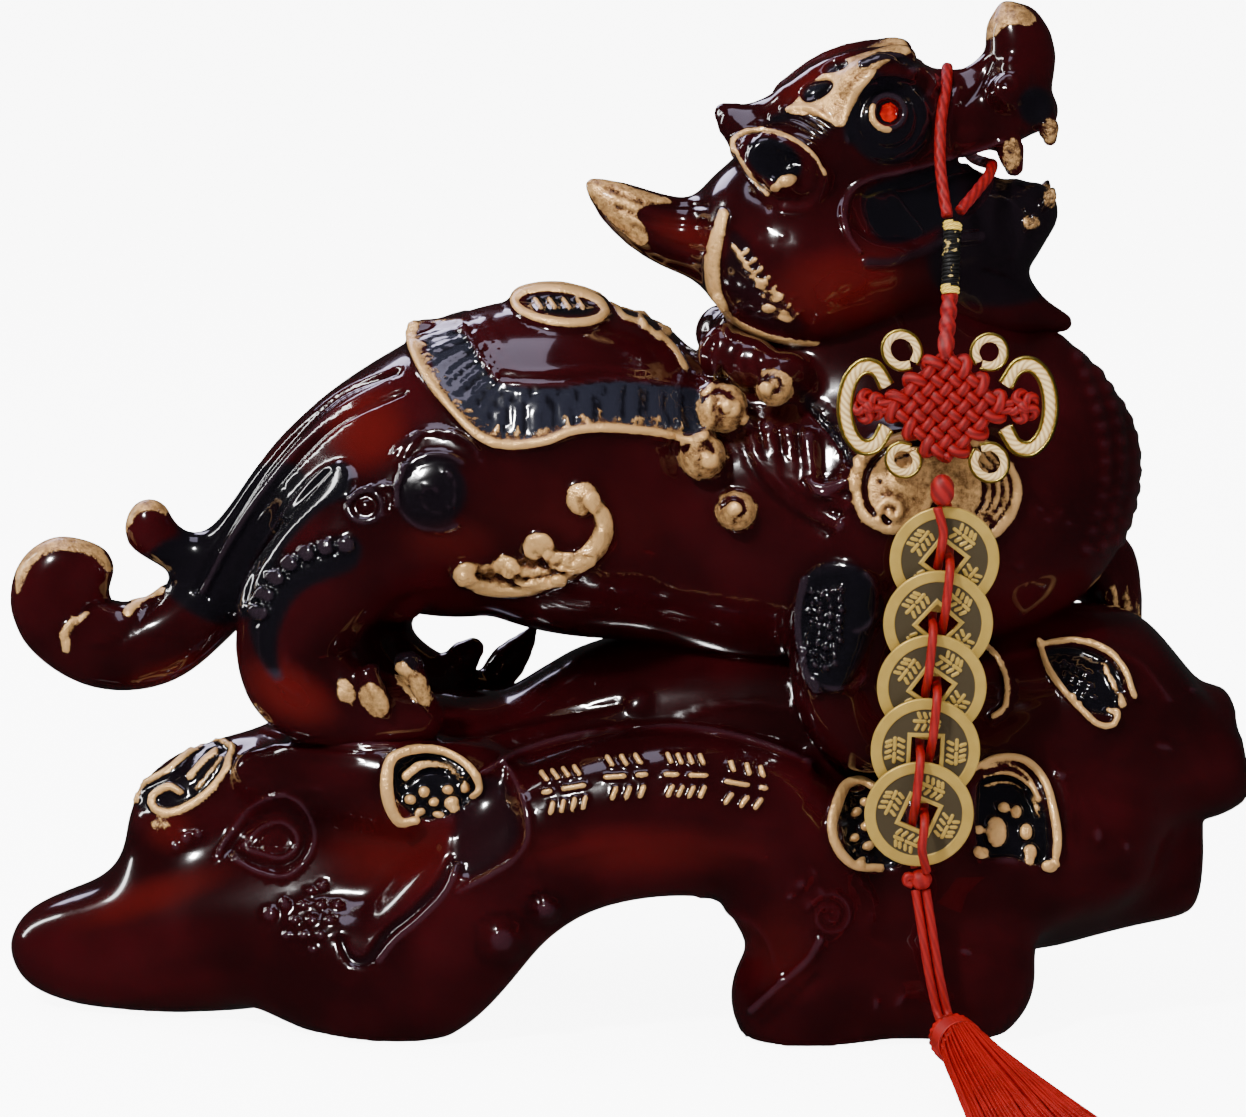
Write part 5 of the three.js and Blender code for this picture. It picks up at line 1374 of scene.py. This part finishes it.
def coin_parts(seed):
    """A cash coin: a broad rim, a bordered square hole and plain raised strokes in a sunken field."""
    around, rows = 208, 46
    angle = 2 * np.pi * np.arange(around) / around
    c, s = np.cos(angle), np.sin(angle)
    square = COIN_HOLE / np.maximum(np.abs(c), np.abs(s))
    share = np.linspace(0, 1, rows)[:, None]
    reach = square * (1 - share) + COIN_RADIUS * share
    x, z = reach * c, reach * s
    edge = np.maximum(np.abs(x), np.abs(z)) - COIN_HOLE
    field = smooth(0.7, 1.05, edge) * (1 - smooth(-0.35, 0, np.hypot(x, z) - COIN_RADIUS + 2.3))
    marks = np.zeros_like(x)
    rng = np.random.default_rng(seed)
    for quarter in range(4):
        cq, sq = math.cos(quarter * math.pi / 2), math.sin(quarter * math.pi / 2)
        p, q = x * cq + z * sq, z * cq - x * sq
        cut = rng.uniform(-0.8, 0.8)
        bars = [(x, 4.9, x + 0.5, 5.9) for x in (-2.3, -0.8, 0.7, 2.1)]
        bars += [(-2.7, 6.8, cut - 0.5, 6.8), (cut + 0.5, 6.8, 2.7, 6.8)]
        bars += [(x + 0.4, 7.7, x, 8.6) for x in (-1.9, -0.6, 0.7, 1.7)]
        for a, b, d, e in bars:
            run = max((d - a) ** 2 + (e - b) ** 2, 1e-6)
            t = np.clip(((p - a) * (d - a) + (q - b) * (e - b)) / run, 0, 1)
            far = np.hypot(p - a - t * (d - a), q - b - t * (e - b))
            marks = np.maximum(marks, 1 - smooth(0.24, 0.54, far))
    height = COIN_THICK / 2 - COIN_RELIEF * field * (1 - marks)
    round_edge = 0.22 * (1 - np.sqrt(np.clip(1 - np.clip((share - 0.965) / 0.035, 0, 1) ** 2, 0, 1)))
    height = height - round_edge
    top = np.stack([x, -height, z], axis=-1).reshape(-1, 3)
    low = np.stack([x, height, z], axis=-1).reshape(-1, 3)
    index = np.arange(rows * around).reshape(rows, around)
    after = np.roll(index, -1, axis=1)
    faces = np.stack([index[:-1], after[:-1], after[1:], index[1:]], axis=-1).reshape(-1, 4)
    offset = rows * around
    walls = [np.stack([index[n], after[n], after[n] + offset, index[n] + offset], axis=-1) for n in (0, -1)]
    sunk = np.stack([(field * (1 - marks)).ravel(), *np.zeros((2, offset))], axis=-1)
    parts = Parts()
    parts.add(np.concatenate([top, low]), np.concatenate([faces, faces[:, ::-1] + offset, *walls]),
              np.concatenate([sunk, sunk]))
    return parts


def coin_pose(index):
    place = Matrix.Translation(Vector(FIRST_COIN + COIN_AXIS * COIN_PITCH * index))
    return (place @ Matrix.Rotation(math.radians(COIN_LEAN), 4, "X")
            @ Matrix.Rotation(math.radians(COIN_TURNS[index]), 4, "Y"))


def moved(points, matrix):
    points = np.asarray(points)
    turn = np.array(matrix)
    return points @ turn[:3, :3].T + turn[:3, 3]


def weave_parts():
    """The flat knot: two strands laid back and forth, over and under each other."""
    parts = Parts()
    count, half = 7, KNOT_SIDE / 2
    step = KNOT_SIDE / count
    root = math.sqrt(0.5)
    for way in (0, 1):
        rows = []
        for i in range(count):
            offset = -half + step * (i + 0.5)
            order = range(count) if i % 2 == 0 else range(count - 1, -1, -1)
            for j in order:
                lift = 1.05 if (i + j + way) % 2 else -1.05
                rows.append((-half + step * (j + 0.5), offset, lift))
            end = half + 0.9 if i % 2 == 0 else -half - 0.9
            if i < count - 1:
                rows.append((end, offset + step / 2, 0))
        rows = [(a, b, y) if way == 0 else (b, a, y) for a, b, y in rows]
        path = [KNOT_CENTRE + ((a - b) * root, y, (a + b) * root) for a, b, y in rows]
        parts.tube(flowing(path, 0.55), 1.28, 10, twist(3, 4.0, 0.05))
    for side in (-1, 1):
        centre = KNOT_CENTRE + (side * 16.9, 0, 0)
        for i in range(5):
            a = math.radians(72 * i + 36)
            out = np.array((math.cos(a), 0, math.sin(a)))
            across = np.array((-math.sin(a), 0, math.cos(a)))
            loop = [centre + out * 0.5 + (0, -0.9, 0), centre + out * 2.2 + across * 1.1 + (0, -0.7, 0),
                    centre + out * 3.1 + (0, 0, 0), centre + out * 2.2 - across * 1.1 + (0, 0.7, 0),
                    centre + out * 0.5 + (0, 0.9, 0)]
            parts.tube(flowing(loop, 0.5), 1.05, 10, twist(3, 4.0, 0.05))
        button = flowing([centre + (0, -2.3, 0), centre + (0, 2.3, 0)], 0.6)
        parts.tube(button, [1.0, 1.5, *[1.7] * 5, 1.5, 1.0], 10)
        for z in (-0.8, 0.8):
            tie = [KNOT_CENTRE + (side * 11.5, -0.6, z), centre - (side * 2.0, 0.6, -z)]
            parts.tube(flowing(tie, 0.6), 0.95, 10)
    return parts


# Each trim loop: its direction, reach, spread and root round the flat knot, and its thickness
KNOT_REACH = KNOT_SIDE * math.sqrt(0.5)
EAR_ROOT = KNOT_SIDE / 2 + 1.2
TRIM_LOOPS = {
    "trim_ear_left": (180, KNOT_REACH + 8.6, 9, EAR_ROOT + 1.6, 2.6),
    "trim_ear_right": (0, KNOT_REACH + 9.4, 9.4, EAR_ROOT + 1.6, 2.6),
    "trim_loop_top_left": (128, EAR_ROOT + 8.6, 3.2, EAR_ROOT + 1.4, 1.8),
    "trim_loop_top_right": (52, EAR_ROOT + 7.6, 3, EAR_ROOT + 1.4, 1.8),
    "trim_loop_low_left": (232, EAR_ROOT + 7, 3, EAR_ROOT + 1.4, 1.8),
    "trim_loop_low_right": (308, EAR_ROOT + 8.4, 3.2, EAR_ROOT + 1.4, 1.8),
}


def trim_route(angle, reach, spread, root, grow=0.0, ahead=0.0):
    turn = math.radians(angle)
    rows = []
    for i in range(9):
        sweep = math.radians((150 if spread > 5 else 171) * (i / 4 - 1))
        out = root + (reach - root) * (0.5 + 0.5 * math.cos(sweep)) + grow * math.cos(sweep)
        side = (spread + grow) * math.sin(sweep)
        rows.append(KNOT_CENTRE + (out * math.cos(turn) - side * math.sin(turn), -ahead,
                                   out * math.sin(turn) + side * math.cos(turn)))
    return rows


def bead_parts(centre, width, height, turns):
    """A small round knot with its cord wound slantwise round it."""
    parts = Parts()
    rows = np.linspace(-1, 1, 22)
    path = [centre + (0, 0, height / 2 * r) for r in rows]
    size = width / 2 * np.sqrt(np.clip(1 - rows**2, 0.02, 1)) ** 0.8

    def shape(s, angle):
        return 0.93 + 0.07 * np.abs(np.cos(turns * angle + 1.1 * s))
    parts.tube(path, size, 24, shape)
    return parts


def thread_tree(material):
    """A Geometry Nodes tree that turns lines into round threads."""
    tree = bpy.data.node_groups.new("threads", "GeometryNodeTree")
    face = tree.interface
    face.new_socket("Geometry", in_out="INPUT", socket_type="NodeSocketGeometry")
    face.new_socket("Thickness", in_out="INPUT", socket_type="NodeSocketFloat")
    face.new_socket("Sides", in_out="INPUT", socket_type="NodeSocketInt")
    face.new_socket("Geometry", in_out="OUTPUT", socket_type="NodeSocketGeometry")
    made = {kind: tree.nodes.new(kind) for kind in ("NodeGroupInput", "NodeGroupOutput",
                                                    "GeometryNodeMeshToCurve",
                                                    "GeometryNodeCurvePrimitiveCircle",
                                                    "GeometryNodeCurveToMesh", "GeometryNodeSetMaterial",
                                                    "GeometryNodeRealizeInstances", "ShaderNodeMath")}
    start, end = made["NodeGroupInput"], made["NodeGroupOutput"]
    half, circle = made["ShaderNodeMath"], made["GeometryNodeCurvePrimitiveCircle"]
    half.operation = "MULTIPLY"
    half.inputs[1].default_value = 0.5
    sweep, paint = made["GeometryNodeCurveToMesh"], made["GeometryNodeSetMaterial"]
    sweep.inputs["Fill Caps"].default_value = True
    paint.inputs["Material"].default_value = material
    link = tree.links.new
    link(start.outputs["Geometry"], made["GeometryNodeMeshToCurve"].inputs["Mesh"])
    link(start.outputs["Thickness"], half.inputs[0])
    link(start.outputs["Sides"], circle.inputs["Resolution"])
    link(half.outputs[0], circle.inputs["Radius"])
    link(made["GeometryNodeMeshToCurve"].outputs["Curve"], sweep.inputs["Curve"])
    link(circle.outputs["Curve"], sweep.inputs["Profile Curve"])
    link(sweep.outputs["Mesh"], made["GeometryNodeRealizeInstances"].inputs["Geometry"])
    link(made["GeometryNodeRealizeInstances"].outputs["Geometry"], paint.inputs["Geometry"])
    link(paint.outputs["Geometry"], end.inputs["Geometry"])
    return tree


def threads_piece(name, lines, thickness, sides, material):
    """Many threads, each along its own line in millimetres, made round by Geometry Nodes."""
    lines = np.asarray(lines, float)
    count, steps = lines.shape[:2]
    start = (np.arange(count) * steps)[:, None] + np.arange(steps - 1)
    edges = np.stack([start, start + 1], axis=-1).reshape(-1, 2)
    wires = bpy.data.meshes.new(name + "_lines")
    wires.from_pydata((lines.reshape(-1, 3) * MM).tolist(), edges.tolist(), [])
    source = bpy.data.objects.new(name + "_lines", wires)
    bpy.context.scene.collection.objects.link(source)
    modifier = source.modifiers.new("threads", "NODES")
    modifier.node_group = thread_tree(material)
    sockets = {item.name: item.identifier for item in modifier.node_group.interface.items_tree
               if item.in_out == "INPUT"}
    modifier[sockets["Thickness"]] = thickness
    modifier[sockets["Sides"]] = sides
    ready = source.evaluated_get(bpy.context.evaluated_depsgraph_get())
    mesh = bpy.data.meshes.new_from_object(ready)
    mesh.name = name
    bpy.data.objects.remove(source)
    mesh.shade_smooth()
    return add_piece(name, mesh, material)


def tassel_lines(count):
    """Lines of the tassel's threads, which leave the head together and spread over the floor."""
    rng = np.random.default_rng(7)
    lines = []
    start = TASSEL_TOP + ALONG * (HEAD_LENGTH - 1.5)
    for _ in range(count):
        angle, size = rng.uniform(0, 2 * math.pi), math.sqrt(rng.uniform(0.05, 1))
        a, b = size * math.cos(angle), size * math.sin(angle)
        reach = (SKIRT_LENGTH + 1) * rng.uniform(0.9, 1.0)
        wave, phase = rng.uniform(0.2, 0.9), rng.uniform(0, 6.28)
        rows = []
        for t in np.linspace(0, 1, 15):
            wide = 4.7 + (SPREAD / 2 - 5.6) * t**0.85
            tall = 4.3 * (1 - t) ** 1.2 + 1.1
            sway = wave * math.sin(phase + 5 * t) * t
            place = start + ALONG * reach * t + ACROSS * (a * wide + sway)
            rows.append((place[0], place[1], max(0.42, tall * (1.02 + b) + 0.1)))
        lines.append(rows)
    return lines


def cord_finish(name, shade, dim, scale, rough=0.5, flecks=None):
    """Satin cord: fine threads slant along it, with painted sheen on them and painted shade between them,
    perhaps with metal flecks.
    """
    finish = Finish(name, Specular_IOR_Level=0.3)
    along, angle = (Value(finish, socket) for socket in finish.cord_mark()[:2])
    ply = finish.maths("SINE", along * scale + angle * 5.0) * 0.5 + 0.5
    fuzz = finish.noise(1400, 2)
    patch = finish.noise(160, 2)
    # Painted sheen on each ply and painted shade between plies, with patches at random
    shine = finish.ramp(ply * 0.7 + fuzz * 0.3 + (patch - 0.5) * 0.4, 0.1, 0.8)
    tone = finish.mix(shine, dim, shade)
    if flecks:
        tone = finish.mix(finish.ramp(finish.noise(620, 2), 0.6, 0.66), tone, flecks)
    finish.set(Base_Color=tone, Roughness=rough + fuzz * 0.15)
    finish.bump(ply * 0.6 + fuzz * 0.4, 0.00012, 0.6)
    return finish.material


def coin_finish():
    """Yellow brass, rubbed bright on its rim and strokes and dull brown in the sunken field."""
    finish = Finish("coin_brass", Metallic=0.4)
    sunk = Value(finish, finish.cord_mark()[0])
    worn, grain = finish.noise(300, 4), finish.noise(1600, 3)
    old = finish.ramp(sunk + (worn - 0.5) * 0.5, 0.25, 0.85)
    bright = finish.mix(worn, colour(0.40, 0.255, 0.045), colour(0.56, 0.37, 0.085))
    finish.set(Base_Color=finish.mix(old, bright, colour(0.060, 0.042, 0.017)),
               Roughness=0.34 + old * 0.3 + grain * 0.08)
    finish.bump(grain * 0.6 + worn * 0.4, 0.00008, 0.6)
    return finish.material


class PIXIU_OT_charm(bpy.types.Operator):
    """Ties the charm: loop, sleeve, flat knot, trim loops and small knots"""

    bl_idname = "pixiu.charm"
    bl_label = "Charm"

    def execute(self, context):
        red = cord_finish("red_cord", colour(0.23, 0.0004, 0.0007), colour(0.12, 0.0001, 0.0003), 1.6)
        cord_finish("red_strand", colour(0.24, 0.0008, 0.0003), colour(0.16, 0.0004, 0.0002), 0.9)
        cream = cord_finish("cream_trim", colour(0.72, 0.52, 0.24), colour(0.42, 0.26, 0.09), 4.0, 0.38)
        gilt = Finish("gilt_trim", Metallic=1.0, Base_Color=colour(0.62, 0.47, 0.10))
        grain = gilt.noise(2600, 2)
        gilt.set(Roughness=0.25 + grain * 0.25)
        gilt.bump(grain, 0.00012, 0.8)
        yellow = cord_finish("yellow_thread", colour(0.80, 0.58, 0.10), colour(0.42, 0.26, 0.03), 6.0)

        # Sleeve: wound turns of dark thread with metal flecks, and a yellow band at each end
        axis = KNOT_CENTRE - SLEEVE_TOP
        axis /= np.linalg.norm(axis)
        dark_turns, band_turns = Parts(), Parts()
        side = np.cross(axis, (1, 0, 0))
        side /= np.linalg.norm(side)
        other = np.cross(axis, side)
        for parts, low, high, thick, reach in (
            (dark_turns, SLEEVE_RING, SLEEVE_LENGTH - SLEEVE_RING, 0.52, 1.55),
            (band_turns, 0.3, SLEEVE_RING, 0.42, 1.75),
            (band_turns, SLEEVE_LENGTH - SLEEVE_RING, SLEEVE_LENGTH - 0.3, 0.42, 1.75),
        ):
            turns = (high - low) / (thick * 1.7)
            count = int(turns * 16)
            rows = []
            for i in range(count + 1):
                a = 2 * math.pi * i / 16
                rows.append(SLEEVE_TOP + axis * (low + (high - low) * i / count)
                            + (side * math.cos(a) + other * math.sin(a)) * reach)
            parts.tube(rows, thick, 6)
            parts.tube(flowing([SLEEVE_TOP + axis * low, SLEEVE_TOP + axis * high], 1), reach, 12)
        dark = cord_finish("sleeve_wrap", colour(0.010, 0.009, 0.008), colour(0.002, 0.002, 0.002), 2.0,
                           flecks=colour(0.42, 0.30, 0.09))
        sleeve = add_piece("bound_sleeve_wrap", dark_turns.mesh("bound_sleeve_wrap"), dark)
        bands = add_piece("sleeve_bands", band_turns.mesh("sleeve_bands"), yellow)
        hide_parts("bound_sleeve")
        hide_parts("bound_sleeve")

        foot = SLEEVE_TOP + axis * (SLEEVE_LENGTH + 0.2)
        neck_parts = Parts()
        neck_line = [foot, KNOT_CENTRE + (0, 0, KNOT_REACH + 1.0), KNOT_CENTRE + (0, 0, 11)]
        neck_parts.tube(flowing(neck_line, 0.4), 1.9, 24, braid(2, 4.2, 0.16))
        neck = add_piece("neck_braid", neck_parts.mesh("neck_braid"), red)
        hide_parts("knot_neck")
        knot = add_piece("woven_knot", weave_parts().mesh("woven_knot"), red)
        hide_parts("flat_knot")
        button = add_piece("button", bead_parts(BUTTON_CENTRE, 5.4, 7.0, 3).mesh("button"), red)
        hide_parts("button_knot")

        cream_parts, gilt_parts = Parts(), Parts()
        for angle, reach, spread, root, thick in TRIM_LOOPS.values():
            big = thick > 2
            cream_parts.tube(flowing(trim_route(angle, reach, spread, root, ahead=0.2), 0.5), thick / 2, 12,
                             twist(3, 5.0, 0.03))
            gilt_parts.tube(flowing(trim_route(angle, reach, spread, root, 1.5 if big else 1.0,
                                               0.9 if big else 0.6), 0.5), 0.42 if big else 0.34, 8)
            if big:
                gilt_parts.tube(flowing(trim_route(angle, reach, spread, root, -1.5, 0.8), 0.5), 0.4, 8)
        creams = add_piece("cream_loops", cream_parts.mesh("cream_loops"), cream)
        gilts = add_piece("gilt_loops", gilt_parts.mesh("gilt_loops"), gilt.material)
        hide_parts(*TRIM_LOOPS)
        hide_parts(*TRIM_LOOPS)

        loop = cord_piece("snout_loop", LOOP_ROUTE, LOOP_CORD, braid(3, 3.4, 0.09), red, 24, far_end="knot",
                          lay="hanging", with_pieces=[sleeve, bands])
        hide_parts("charm_loop")
        return {"FINISHED"}


class PIXIU_OT_coins(bpy.types.Operator):
    """Threads the five coins and ties the end knot"""

    bl_idname = "pixiu.coins"
    bl_label = "Coins"

    def execute(self, context):
        brass = coin_finish()
        red = bpy.data.materials["red_strand"]
        coins = []
        for i in range(len(COIN_TURNS)):
            parts = coin_parts(i + 3)
            parts.points = [moved(p, coin_pose(i)) for p in parts.points]
            coin = add_piece(f"coin_{i + 1}", parts.mesh(f"coin_{i + 1}"), brass)
            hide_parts(f"cash_coin_{i + 1}")
            coins.append(coin)
        knot_parts = bead_parts(END_KNOT, 5.0, 4.4, 2)
        lobe = [END_KNOT + (-1.6, -0.6, 0.6), END_KNOT + (-3.0, -0.8, 0.9), END_KNOT + (-3.2, -0.6, -0.4),
                END_KNOT + (-1.8, -0.6, -1.0)]
        knot_parts.tube(flowing(lobe, 0.4), 1.0, 10)
        knot = add_piece("lower_knot", knot_parts.mesh("lower_knot"), red)
        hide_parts("end_knot")
        left = cord_piece("strand_front", strand_route(-1, True), STRAND, twist(2, 5.0, 0.04), red,
                          far_end="knot", lay="hanging")
        right = cord_piece("strand_back", strand_route(1, False), STRAND, twist(2, 5.0, 0.04), red,
                           far_end="knot", lay="hanging")
        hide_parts("strand_left")
        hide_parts("strand_right")
        return {"FINISHED"}


class PIXIU_OT_tassel(bpy.types.Operator):
    """Hangs the tassel and spreads its threads on the floor"""

    bl_idname = "pixiu.tassel"
    bl_label = "Tassel"

    def execute(self, context):
        sizes = context.scene.pixiu_sizes
        red, shade = colour(0.34, 0.0026, 0.0006), colour(0.14, 0.0008, 0.0003)
        silk = cord_finish("tassel_silk", red, shade, 1.2, 0.45)
        head_parts = Parts()
        rows = np.linspace(0, 1, 26)
        centre = TASSEL_TOP * (1, 1, 0)
        path = [centre + ALONG * HEAD_LENGTH * t + (0, 0, 5.6) for t in rows]
        dome = np.sqrt(np.clip(1 - (1 - np.clip(rows * 3.2, 0, 1)) ** 2, 0.03, 1))
        waist = 1 - 0.14 * smooth(0.25, 0.6, rows) + 0.08 * smooth(0.7, 1, rows)

        def folds(s, angle):
            return 0.97 + 0.03 * np.cos(22 * angle)
        head_parts.tube(path, 5.5 * dome * waist, 96, folds)
        for i in range(7):
            ring = []
            for n in range(25):
                a = 2 * math.pi * n / 24
                ring.append(centre + ALONG * (5.6 + 0.75 * i) + ACROSS * 5.0 * math.cos(a)
                            + np.array((0, 0, 5.6 + 5.0 * math.sin(a))))
            head_parts.tube(ring, 0.5, 8)
        head = add_piece("tassel_cap", head_parts.mesh("tassel_cap"), silk)
        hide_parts("tassel_head")
        skirt = threads_piece("tassel_threads", tassel_lines(sizes.threads), sizes.thread, 5, silk)
        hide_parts("tassel_skirt")
        strand = bpy.data.materials["red_strand"]
        for name, side, node, on in (("drop_left", -1, "tassel_strand_left", [head]),
                                     ("drop_right", 1, "tassel_strand_right", [])):
            drop = cord_piece(name, drop_route(side), STRAND, twist(2, 6.0, 0.03), strand, far_end="knot",
                              lay="hanging", with_pieces=on)
            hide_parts(node)
        return {"FINISHED"}


def soft_light(name, place, aim, size, power, tone=(1, 1, 1)):
    data = bpy.data.lights.new(name, "AREA")
    data.shape = "RECTANGLE"
    data.size, data.size_y = size
    data.energy = power
    data.color = tone
    lamp = bpy.data.objects.new(name, data)
    lamp.location = place
    lamp.rotation_euler = (Vector(aim) - Vector(place)).to_track_quat("-Z", "Y").to_euler()
    bpy.context.scene.collection.objects.link(lamp)
    return lamp


class PIXIU_OT_stage(bpy.types.Operator):
    """Sets up the floor, the light and the camera"""

    bl_idname = "pixiu.stage"
    bl_label = "Stage"

    def execute(self, context):
        scene = context.scene
        camera = bpy.data.objects.new("camera", bpy.data.cameras.new("camera"))
        camera.data.sensor_width = SENSOR
        camera.data.lens = SENSOR * DISTANCE / (FRAME_WIDTH * UNIT)
        aim = Vector((0, 0, AIM_HEIGHT * MM))
        camera.location = aim + Vector((0, -COS, SIN)) * DISTANCE * MM
        camera.rotation_euler = (aim - camera.location).to_track_quat("-Z", "Y").to_euler()
        scene.collection.objects.link(camera)
        scene.camera = camera
        floor = bpy.data.meshes.new("floor")
        floor.from_pydata([(-6, -6, -0.0006), (6, -6, -0.0006), (6, 6, -0.0006), (-6, 6, -0.0006)], [],
                          [(0, 1, 2, 3)])
        ground = bpy.data.objects.new("floor", floor)
        scene.collection.objects.link(ground)
        pale = Finish("floor", Base_Color=colour(0.9, 0.9, 0.9), Roughness=0.8, Emission_Strength=8.0)
        direct = pale.node("LightPath").outputs["Is Camera Ray"]
        pale.set(Emission_Color=pale.mix(direct, colour(0.02, 0.02, 0.02), colour(1, 1, 1)))
        floor.materials.append(pale.material)
        ground.visible_glossy = False
        world = bpy.data.worlds.new("studio")
        world.use_nodes = True
        tree = world.node_tree
        paths = tree.nodes.new("ShaderNodeLightPath")
        shade = tree.nodes.new("ShaderNodeMapRange")
        shade.inputs["To Min"].default_value = 1.0
        shade.inputs["To Max"].default_value = 0.018
        tree.links.new(paths.outputs["Is Glossy Ray"], shade.inputs["Value"])
        tree.links.new(shade.outputs["Result"], tree.nodes["Background"].inputs["Strength"])
        tree.nodes["Background"].inputs["Color"].default_value = (1, 1, 1, 1)
        scene.world = world
        soft_light("key", (-0.55, -0.75, 0.95), aim, (0.12, 0.12), 20)
        fill = soft_light("fill", (0.9, -0.8, 0.5), aim, (0.3, 0.5), 6, (0.9, 0.88, 1.0))
        fill.visible_glossy = False
        soft_light("top", (-0.25, 0.05, 1.2), aim, (0.6, 0.5), 2.8, (0.80, 0.74, 1.0))
        soft_light("edge", (-0.9, 0.35, 0.5), aim, (0.07, 0.6), 4)
        soft_light("sky", (-0.45, 0.85, 0.75), aim, (0.5, 0.3), 3.4, (0.78, 0.72, 1.0))
        return {"FINISHED"}


STEPS = (PIXIU_OT_figure, PIXIU_OT_charm, PIXIU_OT_coins, PIXIU_OT_tassel, PIXIU_OT_stage)


class PIXIU_PT_steps(bpy.types.Panel):
    """Lists the steps in the 3D view's sidebar"""

    bl_idname = "PIXIU_PT_steps"
    bl_label = "Pixiu"
    bl_space_type = "VIEW_3D"
    bl_region_type = "UI"
    bl_category = "Pixiu"

    def draw(self, context):
        for step in STEPS:
            self.layout.operator(step.bl_idname)
        for name in PIXIU_PG_sizes.__annotations__:
            self.layout.prop(context.scene.pixiu_sizes, name)


def register():
    for kind in (PIXIU_PG_sizes, *STEPS, PIXIU_PT_steps):
        bpy.utils.register_class(kind)
    bpy.types.Scene.pixiu_sizes = bpy.props.PointerProperty(type=PIXIU_PG_sizes)


def unregister():
    del bpy.types.Scene.pixiu_sizes
    for kind in (PIXIU_PT_steps, *reversed(STEPS), PIXIU_PG_sizes):
        bpy.utils.unregister_class(kind)


def main():
    register()
    for step in STEPS:
        getattr(bpy.ops.pixiu, step.bl_idname.split(".")[1])()


if __name__ == "__main__":
    main()
